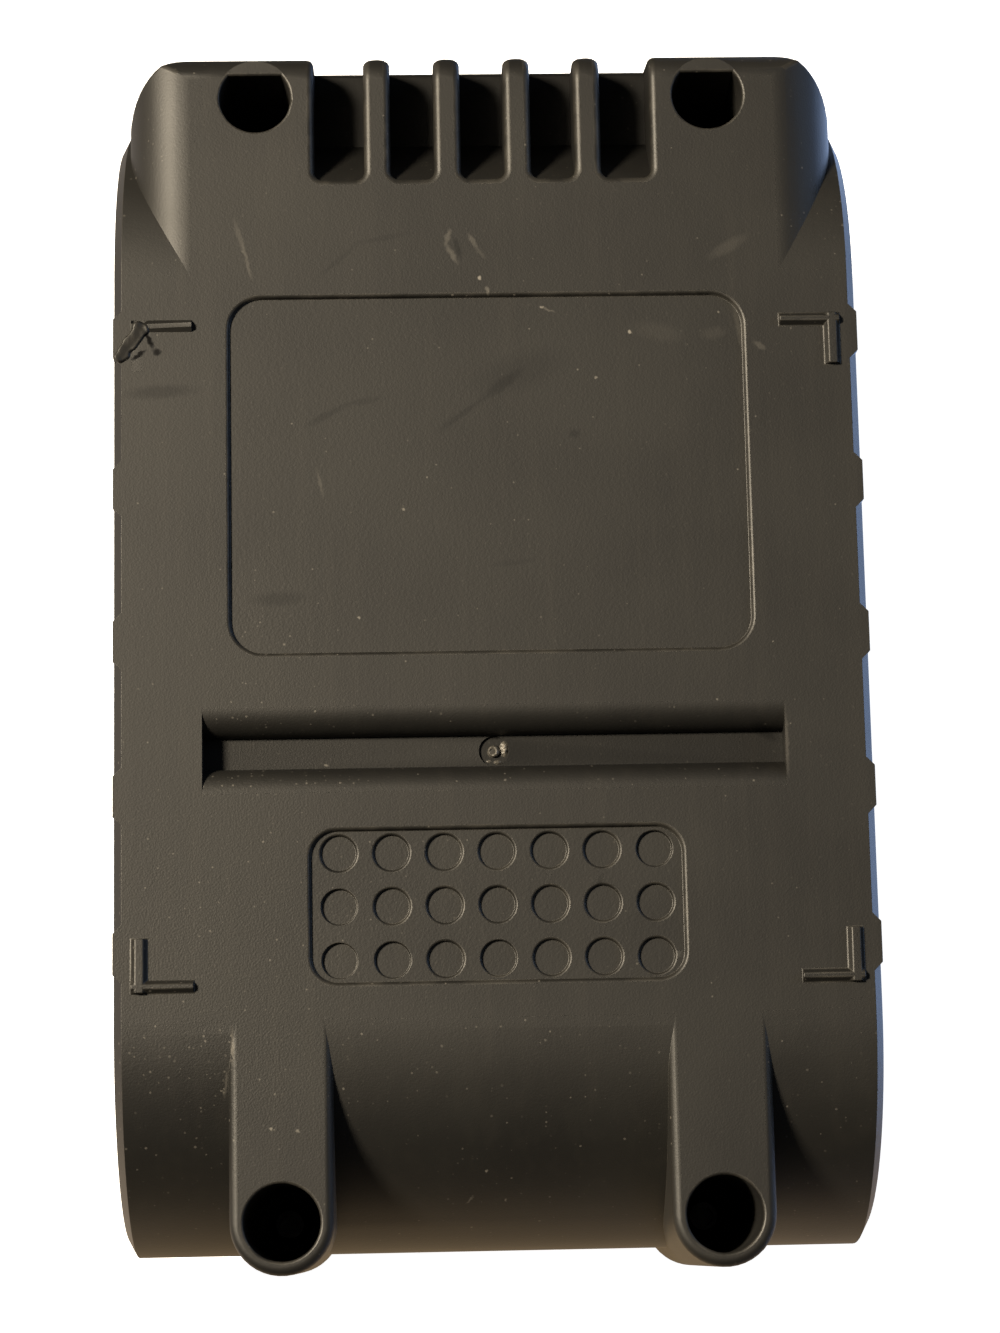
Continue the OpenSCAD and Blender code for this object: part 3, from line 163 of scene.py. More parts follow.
def caseNylon(name, pale, dark, dusty):
    # glass-filled nylon moulded in an eroded tool: near black and matt, so that most of what is seen is its warm
    # sheen, with a fine grain, rubbed paler edges and pale dust; where given, also painted shade, highlights and
    # shadows
    material, tree, shader, place = startMaterial(name, {"IOR": 1.55})
    scale = {pattern: 1 / (nylon[pattern] * mm)
             for pattern in ("grain", "pore", "cloud", "wipe", "dust", "rub", "fray")}
    grain = addNode(tree, "TexNoise", {"Vector": place, "Scale": scale["grain"], "Detail": 2.0})
    pores = addNode(tree, "TexVoronoi", {"Vector": place, "Scale": scale["pore"]})
    cloud = addNode(tree, "TexNoise", {"Vector": place, "Scale": scale["cloud"], "Detail": 4.0})
    stretched = addNode(tree, "Mapping", {"Vector": place, "Scale": (1, 0.06, 1)})
    wipes = addNode(tree, "TexNoise", {"Vector": stretched.outputs[0], "Scale": scale["wipe"], "Detail": 2.0})
    cloudShare = addNode(tree, "MapRange", {"Value": cloud.outputs[0], "From Min": 0.35, "From Max": 0.65})
    tone = addNode(tree, "Mix", {0: cloudShare.outputs[0], 6: toLinear(nylon["tones"][0]),
                                 7: toLinear(nylon["tones"][1])}, data_type="RGBA")
    wipeShare = addNode(tree, "MapRange", {"Value": wipes.outputs[0], "From Min": 0.5, "From Max": 0.8,
                                           "To Max": nylon["wipeShare"]})
    wiped = addNode(tree, "Mix", {0: wipeShare.outputs[0], 6: tone.outputs[2], 7: toLinear(nylon["wiped"])},
                    data_type="RGBA")
    # dust: a grain in each cell of a pattern, of which a share shows, more of them in the dusty spots
    crowd = nylon["dustShare"]
    for x, y, radius, more in dusty:
        spot = addNode(tree, "Mapping", {"Vector": place, "Location": (x * mm, y * mm, 0.06),
                                         "Scale": (radius * mm, radius * mm, 0.05)}, vector_type="TEXTURE")
        near = addNode(tree, "TexGradient", {"Vector": spot.outputs[0]}, gradient_type="SPHERICAL")
        crowd = addNode(tree, "Math", {0: near.outputs["Fac"], 1: more, 2: crowd},
                        operation="MULTIPLY_ADD").outputs[0]
    dust = addNode(tree, "TexVoronoi", {"Vector": place, "Scale": scale["dust"]})
    pick = addNode(tree, "SeparateColor", {"Color": dust.outputs["Color"]})
    chosen = addNode(tree, "Math", {0: crowd, 1: pick.outputs[0]}, operation="SUBTRACT")
    shown = addNode(tree, "MapRange", {"Value": chosen.outputs[0], "From Max": 0.15})
    least, more = nylon["dustSize"]
    size = addNode(tree, "Math", {0: pick.outputs[1], 1: more, 2: least}, operation="MULTIPLY_ADD")
    speck = addNode(tree, "Math", {0: size.outputs[0], 1: dust.outputs["Distance"]}, operation="SUBTRACT")
    disc = addNode(tree, "MapRange", {"Value": speck.outputs[0], "From Max": 0.12})
    bright = addNode(tree, "MapRange", {"Value": pick.outputs[2], "From Min": 0.3,
                                        "To Min": nylon["dustBright"][0], "To Max": nylon["dustBright"][1]})
    grains = addNode(tree, "Math", {0: shown.outputs[0], 1: disc.outputs[0]}, operation="MULTIPLY")
    dustShare = addNode(tree, "Math", {0: grains.outputs[0], 1: bright.outputs[0]}, operation="MULTIPLY")
    dusted = addNode(tree, "Mix", {0: dustShare.outputs[0], 6: wiped.outputs[2], 7: toLinear(nylon["dustTone"])},
                     data_type="RGBA")
    # rubbed edges: the rounded faces carry the attribute, and noise breaks them up
    edge = addNode(tree, "Attribute", attribute_name="wear")
    rub = addNode(tree, "TexNoise", {"Vector": place, "Scale": scale["rub"], "Detail": 3.0})
    rubShare = addNode(tree, "MapRange", {"Value": rub.outputs[0], "From Min": 0.4, "From Max": 0.7,
                                          "To Min": nylon["rubShare"][0], "To Max": nylon["rubShare"][1]})
    edgeShare = addNode(tree, "Math", {0: edge.outputs["Fac"], 1: rubShare.outputs[0]}, operation="MULTIPLY")
    rubbed = addNode(tree, "Mix", {0: edgeShare.outputs[0], 6: dusted.outputs[2], 7: toLinear(nylon["rubbed"])},
                     data_type="RGBA")
    colour = rubbed.outputs[2]
    # scuffs and smudges, and the painted highlights and shadows among them: soft ellipses whose outline a fine noise
    # frays
    fray = addNode(tree, "TexNoise", {"Vector": place, "Scale": scale["fray"], "Detail": 2.0})
    centred = addNode(tree, "VectorMath", {0: fray.outputs["Color"], 1: (0.5, 0.5, 0.5)}, operation="SUBTRACT")
    shaken = addNode(tree, "VectorMath", {0: centred.outputs[0], 1: (nylon["fray"] * mm, nylon["fray"] * mm, 0),
                                          2: place}, operation="MULTIPLY_ADD")
    smudgeAndShadowDulling = None
    for scuffs, kind in ((dark, "smudgeAndShadow"), (pale, "scuffAndHighlight")):
        for x, y, z, length, width, turn, strength in scuffs:
            reach = nylon["scuffReach"][0 if z > nylon["flatFrom"] else 1]
            spot = addNode(tree, "Mapping", {
                "Vector": shaken.outputs[0], "Location": (x * mm, y * mm, z * mm),
                "Rotation": (0, 0, math.radians(turn)),
                "Scale": (length / 2 * mm, width / 2 * mm, reach * mm)}, vector_type="TEXTURE")
            fade = addNode(tree, "TexGradient", {"Vector": spot.outputs[0]}, gradient_type="SPHERICAL")
            share = addNode(tree, "MapRange", {"Value": fade.outputs["Fac"], "From Max": 0.6, "To Max": strength})
            mixed = addNode(tree, "Mix", {0: share.outputs[0], 6: colour, 7: toLinear(nylon[kind])},
                            data_type="RGBA")
            colour = mixed.outputs[2]
            if kind == "smudgeAndShadow":   # dull as well as dark
                dull = addNode(tree, "Math", {0: share.outputs[0], 1: nylon["dulling"]}, operation="MULTIPLY")
                if smudgeAndShadowDulling is not None:
                    dull = addNode(tree, "Math", {0: smudgeAndShadowDulling, 1: dull.outputs[0]})
                smudgeAndShadowDulling = dull.outputs[0]
    # painted shade, deep in the vents and the groove: black and dull
    paintedShade = addNode(tree, "Attribute", attribute_name="paintedShade")
    withPaintedShade = addNode(tree, "Mix", {0: paintedShade.outputs["Fac"], 6: colour, 7: toLinear(nylon["paintedShade"])},
                    data_type="RGBA")
    tree.links.new(withPaintedShade.outputs[2], shader.inputs["Base Color"])
    shine = addNode(tree, "MapRange", {"Value": paintedShade.outputs["Fac"], "To Min": nylon["specular"][0],
                                       "To Max": nylon["specular"][1]}).outputs[0]
    gloss = addNode(tree, "MapRange", {"Value": cloud.outputs[0], "From Min": 0.3, "From Max": 0.7,
                                       "To Min": nylon["roughness"][0], "To Max": nylon["roughness"][1]})
    rough = addNode(tree, "Math", {0: edge.outputs["Fac"], 1: nylon["polish"], 2: gloss.outputs[0]},
                    operation="MULTIPLY_ADD").outputs[0]
    if smudgeAndShadowDulling is not None:
        shine = addNode(tree, "Math", {0: smudgeAndShadowDulling, 1: nylon["smudgeAndShadowLoss"], 2: shine},
                        operation="MULTIPLY_ADD", use_clamp=True).outputs[0]
        rough = addNode(tree, "Math", {0: rough, 1: smudgeAndShadowDulling}).outputs[0]
    tree.links.new(shine, shader.inputs["Specular IOR Level"])
    tree.links.new(rough, shader.inputs["Roughness"])
    strength, deep = nylon["poreRelief"]
    pit = addNode(tree, "Bump", {"Height": pores.outputs["Distance"], "Strength": strength, "Distance": deep * mm})
    # the grain stands out where dust has settled in it
    least, more = nylon["grainRelief"]
    relief = least + more * nylon["dustShare"]
    if dusty:
        relief = addNode(tree, "Math", {0: crowd, 1: more, 2: least}, operation="MULTIPLY_ADD",
                         use_clamp=True).outputs[0]
    bump = addNode(tree, "Bump", {"Height": grain.outputs[0], "Strength": relief,
                                  "Distance": nylon["grainDepth"] * mm, "Normal": pit.outputs[0]})
    tree.links.new(bump.outputs[0], shader.inputs["Normal"])
    return material


def grainedFinish(name, colours, grain, stretch, roughness, bump, fixed):
    # two tones mixed by one noise, grain in mm, stretched along the way that the piece was rolled or drawn
    material, tree, shader, place = startMaterial(name, fixed)
    drawn = addNode(tree, "Mapping", {"Vector": place, "Scale": stretch})
    noise = addNode(tree, "TexNoise", {"Vector": drawn.outputs[0], "Scale": 1 / (grain * mm), "Detail": 4.0})
    share = addNode(tree, "MapRange", {"Value": noise.outputs[0], "From Min": 0.3, "From Max": 0.7})
    tone = addNode(tree, "Mix", {0: share.outputs[0], 6: toLinear(colours[0]), 7: toLinear(colours[1])},
                   data_type="RGBA")
    tree.links.new(tone.outputs[2], shader.inputs["Base Color"])
    gloss = addNode(tree, "MapRange", {"Value": noise.outputs[0], "From Min": 0.3, "From Max": 0.7,
                                       "To Min": roughness[0], "To Max": roughness[1]})
    tree.links.new(gloss.outputs[0], shader.inputs["Roughness"])
    relief = addNode(tree, "Bump", {"Height": noise.outputs[0], "Strength": 0.4, "Distance": bump * mm})
    tree.links.new(relief.outputs[0], shader.inputs["Normal"])
    return material


def cellWrap():
    # heat-shrunk PVC sleeve, glossy and slightly rippled, over a nickel-plated can whose ends stay bare
    material, tree, shader, place = startMaterial("shrunkSleeve", {"IOR": 1.53})
    facing = addNode(tree, "SeparateXYZ", {0: addNode(tree, "TexCoord").outputs["Normal"]})
    flat = addNode(tree, "Math", {0: facing.outputs[0]}, operation="ABSOLUTE")
    end = addNode(tree, "Math", {0: flat.outputs[0], 1: 0.9}, operation="GREATER_THAN")
    ripple = addNode(tree, "TexNoise", {"Vector": place, "Scale": 1 / (3 * mm), "Detail": 2.0})
    tone = addNode(tree, "Mix", {0: ripple.outputs[0], 6: toLinear("#2f7480"), 7: toLinear("#3d8a96")},
                   data_type="RGBA")
    colour = addNode(tree, "Mix", {0: end.outputs[0], 6: tone.outputs[2], 7: toLinear("#c9c6bf")}, data_type="RGBA")
    tree.links.new(colour.outputs[2], shader.inputs["Base Color"])
    tree.links.new(end.outputs[0], shader.inputs["Metallic"])
    gloss = addNode(tree, "MapRange", {"Value": ripple.outputs[0], "To Min": 0.22, "To Max": 0.36})
    tree.links.new(gloss.outputs[0], shader.inputs["Roughness"])
    relief = addNode(tree, "Bump", {"Height": ripple.outputs[0], "Strength": 0.3, "Distance": 0.1 * mm})
    tree.links.new(relief.outputs[0], shader.inputs["Normal"])
    return material


def boardLaminate():
    # glass-epoxy laminate under green solder mask: tracks show as paler raised lines, and vias as tinned dots
    material, tree, shader, place = startMaterial("maskedLaminate", {"IOR": 1.5})
    tracks = addNode(tree, "TexBrick", {
        "Vector": place, "Color1": toLinear("#0f4a2a"), "Color2": toLinear("#0c4024"),
        "Mortar": toLinear("#1f7a45"), "Scale": 1 / (4 * mm), "Mortar Size": 0.04, "Mortar Smooth": 0.3,
        "Brick Width": 1.6, "Row Height": 0.4}, offset=0.37)
    vias = addNode(tree, "TexVoronoi", {"Vector": place, "Scale": 1 / (5 * mm)})
    dot = addNode(tree, "Math", {0: vias.outputs["Distance"], 1: 0.07}, operation="LESS_THAN")
    colour = addNode(tree, "Mix", {0: dot.outputs[0], 6: tracks.outputs["Color"], 7: toLinear("#c8c4ba")},
                     data_type="RGBA")
    tree.links.new(colour.outputs[2], shader.inputs["Base Color"])
    tree.links.new(dot.outputs[0], shader.inputs["Metallic"])
    gloss = addNode(tree, "MapRange", {"Value": tracks.outputs["Fac"], "To Min": 0.35, "To Max": 0.28})
    tree.links.new(gloss.outputs[0], shader.inputs["Roughness"])
    relief = addNode(tree, "Bump", {"Height": tracks.outputs["Fac"], "Strength": 0.4, "Distance": 0.04 * mm})
    tree.links.new(relief.outputs[0], shader.inputs["Normal"])
    return material


rubbedNylonWithPaintedLight = caseNylon("rubbedBlackNylonWithPaintedLight", paleScuffsAndHighlights, darkScuffsAndShadows, dustySpots)
finishes = {
    "case_plastic": caseNylon("mouldedBlackNylon", [], [], []),
    # flame-proof ABS, plain moulded: even dark grey with a soft sheen
    "holder_plastic": grainedFinish("mouldedDarkAbs", ("#2b2c2d", "#323334"), 0.6, (1, 1, 1), (0.42, 0.52), 0.02,
                                    {"IOR": 1.53}),
    "cell_wrap": cellWrap(),
    # rolled nickel strip: warm silver with fine lines along the roll
    "nickel_strip": grainedFinish("rolledNickel", ("#b9b4aa", "#d2cec5"), 0.8, (1, 0.08, 1), (0.26, 0.4), 0.01,
                                  {"Metallic": 1.0}),
    # vulcanised fibre card: dull buff, with short fibres
    "insulating_card": grainedFinish("fibreCard", ("#c3b793", "#d0c6a6"), 0.5, (1, 0.3, 1), (0.75, 0.9), 0.03,
                                     {"IOR": 1.5}),
    "circuit_board": boardLaminate(),
    # moulded epoxy: near black, slightly sparkling and dull
    "chip_body": grainedFinish("mouldedEpoxy", ("#1d1d1f", "#262628"), 0.15, (1, 1, 1), (0.5, 0.65), 0.01,
                               {"IOR": 1.55}),
    # drawn aluminium can: pale metal with lines up its side
    "capacitor_can": grainedFinish("drawnAluminium", ("#b8babd", "#d3d5d7"), 0.5, (1, 1, 0.1), (0.28, 0.4), 0.01,
                                   {"Metallic": 1.0}),
    # blackened steel: dark metal with a thin oily gloss
    "screw_steel": grainedFinish("blackenedSteel", ("#2c2c2e", "#3c3c3e"), 0.4, (1, 1, 1), (0.4, 0.55), 0.01,
                                 {"Metallic": 1.0}),
    # tinned copper alloy: pale yellowish metal, wiped bright along the way that a blade slides
    "contact_copper": grainedFinish("tinnedCopper", ("#b08d57", "#d8c7a0"), 0.7, (1, 0.1, 1), (0.22, 0.38), 0.01,
                                    {"Metallic": 1.0}),
    # drawn spring wire: bright grey metal
    "spring_steel": grainedFinish("drawnWire", ("#98989a", "#bcbcbe"), 0.3, (1, 1, 1), (0.2, 0.32), 0.005,
                                  {"Metallic": 1.0}),
    # moulded ABS of the buttons: mid grey, finely grained
    "button_plastic": grainedFinish("mouldedGreyAbs", ("#575550", "#605e59"), 0.35, (1, 1, 1), (0.42, 0.52), 0.03,
                                    {"IOR": 1.53}),
    # diffusing epoxy of the lamps: milky and smooth
    "led_body": grainedFinish("diffusingEpoxy", ("#ddddd3", "#e8e8e0"), 0.5, (1, 1, 1), (0.25, 0.35), 0.005,
                              {"IOR": 1.5}),
    # smoked polycarbonate: dark, clear and glossy
    "gauge_window": grainedFinish("smokedPolycarbonate", ("#6d7577", "#767e80"), 2.0, (1, 1, 1), (0.04, 0.07),
                                  0.001, {"IOR": 1.585, "Transmission Weight": 0.8}),
}
for subpart in frame["record"]["subparts"]:
    faces = nodes[subpart["node"]].data
    faces.materials.clear()
    faces.materials.append(finishes[subpart["material_slot"]])
print("finishes made:", len(finishes) + 1)


def mergedCopy(node):
    bm = bmesh.new()
    bm.from_mesh(nodes[node].data)
    bmesh.ops.remove_doubles(bm, verts=bm.verts, dist=0.002 * mm)
    for edge in bm.edges:
        edge.smooth = True
    return bm


def addPiece(name, bm, body, node, material):
    mesh = bpy.data.meshes.new(name)
    for face in bm.faces:
        face.smooth = True
    bm.to_mesh(mesh)
    bm.free()
    mesh.materials.clear()
    mesh.materials.append(material)
    piece = bpy.data.objects.new(name, mesh)
    scene.collection.objects.link(piece)
    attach(piece, body)
    if node:
        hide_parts(node)
    return piece


def outsideEdges(bm, ways, least):
    # sharp edges that can be seen from outside, along one of the given ways
    tree = BVHTree.FromBMesh(bm)
    found = []
    for edge in bm.edges:
        if len(edge.link_faces) != 2 or edge.calc_face_angle() < least:
            continue
        out = (edge.link_faces[0].normal + edge.link_faces[1].normal).normalized()
        start = (edge.verts[0].co + edge.verts[1].co) / 2 + out * 0.02 * mm
        if any(way.dot(out) > -0.2 and tree.ray_cast(start, way)[0] is None for way in ways):
            found.append(edge)
    return found


def joinedRuns(edges):
    left = dict.fromkeys(edges)   # keeps the edges' order, so that the mesh comes out the same each time
    runs = []
    while left:
        run = [left.popitem()[0]]
        for edge in run:
            for vert in edge.verts:
                near = [e for e in vert.link_edges if e in left]
                for e in near:
                    del left[e]
                run.extend(near)
        runs.append(run)
    return runs


def runBox(edges):
    places = [vert.co / mm for edge in edges for vert in edge.verts]
    low = Vector([min(p[i] for p in places) for i in range(3)])
    high = Vector([max(p[i] for p in places) for i in range(3)])
    return low, high


# how a moulding's edges are rounded
rounding = {
    "flat": 0.6,      # degrees, faces that differ by less become one
    "sharp": 20,      # degrees, edges that bend by more are rounded
    "segments": 3,
    "shallow": 2,     # degrees, bend from which an inner corner breaks the shading
}


def roundEdges(bm, up, radiusFor, keepsSharp=None, freeFrom=1):
    # flat faces first become one face each, so that the rounds have room; a radius from freeFrom on isn't held back
    # by its tightest spot
    bmesh.ops.dissolve_limit(bm, angle_limit=math.radians(rounding["flat"]), use_dissolve_boundaries=False,
                             verts=bm.verts, edges=bm.edges, delimit=set())
    ways = [Vector(way).normalized() for way in (
        (0, 0, up), (1, 0, 0), (-1, 0, 0), (0, 1, 0), (0, -1, 0),
        (1, 0, up), (-1, 0, up), (0, 1, up), (0, -1, up))]
    edges = outsideEdges(bm, ways, math.radians(rounding["sharp"]))
    if keepsSharp:
        edges = [edge for edge in edges if not keepsSharp(edge)]
    wear = bm.faces.layers.float.new("wear")
    runs = sorted(joinedRuns(edges), key=len, reverse=True)
    for run in runs:
        low, high = runBox(run)
        radius = radiusFor(low, high, run)
        if radius:
            made = bmesh.ops.bevel(bm, geom=run, offset=radius * mm, offset_type="OFFSET",
                                   segments=rounding["segments"], profile=0.5, affect="EDGES",
                                   clamp_overlap=radius < freeFrom, loop_slide=True, material=-1)
            for face in made["faces"]:
                face[wear] = 1.0
    return len(runs)


def evenShading(piece):
    shading = piece.modifiers.new("evenShading", "WEIGHTED_NORMAL")
    shading.keep_sharp = True
    shading.weight = 100


# lower case, its underside up: every outside edge gets the round that its feature shows; all in mm
lowerCase = {
    "level": 62.0,           # the flat underside
    "parting": 34.0,         # the edges at the parting line lie below this
    "outsideFrom": 50.0,     # and the other outside edges reach above this
    "blockFromY": 37.6,      # the end block rises out of the rounded end beyond this
    "longEdge": 36.0,        # the toothed chamfers lie beyond this, either side
    "ventFromY": 47.0,       # the vented end's slots and ribs lie beyond this
    "ventHalf": 18.0,
    "ventDepth": 6.3,
    "ventPaintedShade": 0.8,        # how far the painted shade darkens and dulls the vents' floor
    "gate": (0.0, -10.65),   # the gate mark in the groove's floor
    "grooveFloor": 59.2,
    "grooveFoot": (2.5, 0.2),   # how far from its middle and above its floor its inner corners are, at most
    "grooveHalf": 29.0,      # the groove across the underside: half its length, and how far its rims reach
    "grooveReach": 4.3,
    "grooveBack": 4.0,       # what is deeper is inside the case
    # how far the painted shade darkens and dulls the groove's floor
    "groovePaintedShade": 0.5,
    "skin": 0.1,             # what is less deep or less high than this is level with the underside
    "longRun": 60.0,         # a run of edges this long goes round the case
}
# rounds of the lower case's features, each with the size that a run of its edges has at most; a pair is for the foot
# of a small wall and for its top
lowerRounds = {
    "gatePin": (1.3, 0.06),
    "gateRim": (3.2, 0),
    "dimple": (4.0, (0.1, 0.25)),
    "cornerMark": (7.0, 0.12),
    "holeRim": (8.0, 0.3),
    "panel": (0.12, 0.38),
    "body": 0.45,
    "vent": 0.7,
    "parting": 0.2,
}


def lowerRound(low, high, run):
    size = high - low
    if high.z < lowerCase["parting"]:
        return lowerRounds["parting"] if size.x > lowerCase["longRun"] else 0
    if high.z < lowerCase["outsideFrom"]:
        return 0
    if low.y > lowerCase["ventFromY"] and max(-low.x, high.x) < lowerCase["ventHalf"]:
        return lowerRounds["vent"]
    top = all(edge.is_convex for edge in run)
    raised = low.z > lowerCase["level"] - lowerCase["skin"]
    for feature in ("gatePin", "gateRim", "dimple", "cornerMark", "holeRim"):
        most, radius = lowerRounds[feature]
        if max(size.x, size.y) < most and (raised or feature != "cornerMark"):
            return radius[top] if feature == "dimple" else radius
    return lowerRounds["body"] if size.y > lowerCase["longRun"] else lowerRounds["panel"][top]


def lowerSharp(edge):
    # inner corners: round the end block and its vents, along the toothed long edges, and of the groove's floor
    if edge.is_convex:
        return False
    x, y = (edge.verts[0].co / mm).xy
    top = max(vert.co.z / mm for vert in edge.verts)
    off, rise = lowerCase["grooveFoot"]
    inGroove = abs(y - lowerCase["gate"][1]) < off and top < lowerCase["grooveFloor"] + rise
    return inGroove or y > lowerCase["blockFromY"] or abs(x) > lowerCase["longEdge"]


def splitCreases(bm, staysSharp, fromZ):
    # shading breaks at the inner corners that stay sharp, also where the end block's crease starts out shallow
    for edge in bm.edges:
        bend = edge.calc_face_angle(0) if len(edge.link_faces) == 2 else 0
        edge.smooth = not (bend > math.radians(rounding["shallow"]) and staysSharp(edge)
                           and min(vert.co.z for vert in edge.verts) > fromZ * mm)


# the corner mark at the upper left has melted: one arm is nearly gone, and a smeared tongue runs over the long edge
meltedMark = {
    "armLow": (-35.8, 27.0),    # mm, corners of the melted arm in plan
    "armHigh": (-33.95, 33.4),
    "left": 0.03,               # what is left of the arm's height
    "box": (-37.4, 27.4, -33.0, 33.6),
    "root": (-34.75, 32.2),     # the tongue runs from here
    "tip": (-36.75, 29.4),      # to here
    "halfWidth": (0.95, 0.75),  # at its root and its tip
    "height": 0.26,
    "rim": 0.24,                # how much higher its outer side is
    "slope": 0.32,              # width of its sloping sides
    "wobble": (0.2, 1.3, 3.7),  # of its outline: mm, waves a mm, and which noise
    "lumps": (0.04, 1.2, 9.1),  # of its top
    "wear": 0.6,
    "cells": (60, 84),
}
# the gate mark: a torn stub with a ring-shaped top, and a frayed patch on the wall that the light meets
gateScar = {
    "box": (-1.45, -12.1, 1.45, -9.2),
    "ring": (-0.1, -0.05, 0.4, 0.24, 0.16),   # x, y, radius, half width, height
    # x, y, half width, half length, height
    "patches": [(1.0, 0.2, 0.45, 0.75, 0.32), (0.35, -1.1, 0.4, 0.22, 0.2), (-0.5, -1.0, 0.3, 0.2, 0.1)],
    "reach": 1.44,
    "ringTorn": (0.5, 5, 1.3),                # unevenness: share, waves a mm, and which noise
    "patchTorn": (0.5, 4, 6.1),
    "wear": (0.5, 2.8, 0.06),                 # low down, high up, and from which height
    "cells": (58, 58),
}
# how a raised patch lies on the case, in mm
patchSkin = {
    "start": 80,      # rays start at this height
    "embed": 0.05,    # its foot starts this far under the surface
    "least": 0.004,   # what is lower is left out
    "sink": 0.15,     # how far its sides go down
}


def unevenness(x, y, setting):
    amount, waves, layer = setting
    return amount * noise.noise((x * waves, y * waves, layer))


def meltArm(bm):
    (x0, y0), (x1, y1) = meltedMark["armLow"], meltedMark["armHigh"]
    for vert in bm.verts:
        x, y, z = vert.co / mm
        if x0 < x < x1 and y0 < y < y1 and z > lowerCase["level"] + lowerCase["skin"]:
            vert.co.z = (lowerCase["level"] + meltedMark["left"]) * mm


def smoothStep(value):
    value = min(1, max(0, value))
    return value * value * (3 - 2 * value)


def tongueHeight(x, y):
    root, tip = Vector(meltedMark["root"]), Vector(meltedMark["tip"])
    way = tip - root
    spot = Vector((x, y)) - root
    share = min(1, max(0, spot.dot(way) / way.length_squared))
    rootHalf, tipHalf = meltedMark["halfWidth"]
    off = spot - way * share
    inward = rootHalf + (tipHalf - rootHalf) * share - off.length
    inward += unevenness(x, y, meltedMark["wobble"])
    outer = smoothStep(0.5 - off.x / rootHalf)
    top = meltedMark["height"] + meltedMark["rim"] * outer + unevenness(x, y, meltedMark["lumps"])
    return smoothStep(inward / meltedMark["slope"]) * top


def scarHeight(x, y):
    gateX, gateY = lowerCase["gate"]
    x, y = x - gateX, y - gateY
    ringX, ringY, radius, half, height = gateScar["ring"]
    off = (math.hypot(x - ringX, y - ringY) - radius) / half
    top = height * smoothStep(1 - abs(off)) * (1 + unevenness(x, y, gateScar["ringTorn"]))
    for patchX, patchY, halfX, halfY, height in gateScar["patches"]:
        off = math.hypot((x - patchX) / halfX, (y - patchY) / halfY)
        torn = 1 + unevenness(x, y, gateScar["patchTorn"])
        top = max(top, height * smoothStep(1.3 - off) * torn)
    return top if math.hypot(x, y) < gateScar["reach"] else 0


def scarWear(height):
    low, high, highFrom = gateScar["wear"]
    return high if height > highFrom else low


def raisedPatch(box, cells, heightAt, wearOf, ground):
    # a thin skin that follows the case and rises from it by the given height
    bm = bmesh.new()
    wear = bm.faces.layers.float.new("wear")
    bmesh.ops.create_grid(bm, x_segments=cells[0], y_segments=cells[1], size=1)
    heights = {}
    for vert in bm.verts:
        x = box[0] + (vert.co.x + 1) / 2 * (box[2] - box[0])
        y = box[1] + (vert.co.y + 1) / 2 * (box[3] - box[1])
        heights[vert] = heightAt(x, y)
        hit = ground.ray_cast(Vector((x, y, patchSkin["start"])) * mm, Vector((0, 0, -1)))[0]
        vert.co = (x * mm, y * mm, hit.z + (heights[vert] - patchSkin["embed"]) * mm)
    low = []
    for face in bm.faces:
        height = max(heights[vert] for vert in face.verts)
        face[wear] = wearOf(height)
        if height < patchSkin["least"]:
            low.append(face)
    bmesh.ops.delete(bm, geom=low, context="FACES")
    foot = bmesh.ops.extrude_edge_only(bm, edges=[edge for edge in bm.edges if edge.is_boundary])
    verts = [item for item in foot["geom"] if isinstance(item, bmesh.types.BMVert)]
    bmesh.ops.translate(bm, verts=verts, vec=(0, 0, -patchSkin["sink"] * mm))
    bmesh.ops.holes_fill(bm, edges=[edge for edge in bm.edges if edge.is_boundary])
    bmesh.ops.recalc_face_normals(bm, faces=bm.faces)
    return bm


bm = mergedCopy("lower_case")
meltArm(bm)
runCount = roundEdges(bm, 1, lowerRound, lowerSharp, lowerRounds["vent"])
splitCreases(bm, lowerSharp, lowerCase["parting"])
# painted shade grows with the depth in the vents and the groove
paintedShade = bm.loops.layers.float.new("paintedShade")
for face in bm.faces:
    x, y, z = face.calc_center_median() / mm
    depth = lowerCase["level"] - z
    acrossGroove = abs(y - lowerCase["gate"][1]) < lowerCase["grooveReach"]
    if depth <= lowerCase["skin"]:
        continue
    if (y > lowerCase["ventFromY"] and abs(x) < lowerCase["ventHalf"]
            and depth < lowerCase["ventDepth"] + lowerCase["skin"]):
        most, full = lowerCase["ventPaintedShade"], lowerCase["ventDepth"]
    elif acrossGroove and abs(x) < lowerCase["grooveHalf"] and depth < lowerCase["grooveBack"]:
        most, full = lowerCase["groovePaintedShade"], lowerCase["level"] - lowerCase["grooveFloor"]
    else:
        continue
    for loop in face.loops:
        loop[paintedShade] = most * min(1, (lowerCase["level"] - loop.vert.co.z / mm) / full)
ground = BVHTree.FromBMesh(bm)
lowerMoulding = addPiece("lower_case_moulding", bm, "pack", "lower_case", rubbedNylonWithPaintedLight)
evenShading(lowerMoulding)
print("lower case rounded,", runCount, "runs of edges,", len(lowerMoulding.data.polygons), "faces")
bm = raisedPatch(meltedMark["box"], meltedMark["cells"], tongueHeight, lambda height: meltedMark["wear"], ground)
addPiece("melted_mark", bm, "pack", None, rubbedNylonWithPaintedLight)
bm = raisedPatch(gateScar["box"], gateScar["cells"], scarHeight, scarWear, ground)
addPiece("gate_scar", bm, "pack", None, rubbedNylonWithPaintedLight)
print("worn marks added")

# upper case, its rails down; all in mm
upperCase = {
    "body": 0.4,          # rounds
    "opening": 0.2,
    "fine": 0.1,
    "fineRun": 2.5,       # a run of edges up to this size gets the fine round
    "longRun": 40,        # and one beyond this the body's
    "noseWall": -58.5,
}


def upperSharp(edge):
    # where the screw posts run out on the nose wall
    return not edge.is_convex and max(vert.co.y for vert in edge.verts) < upperCase["noseWall"] * mm


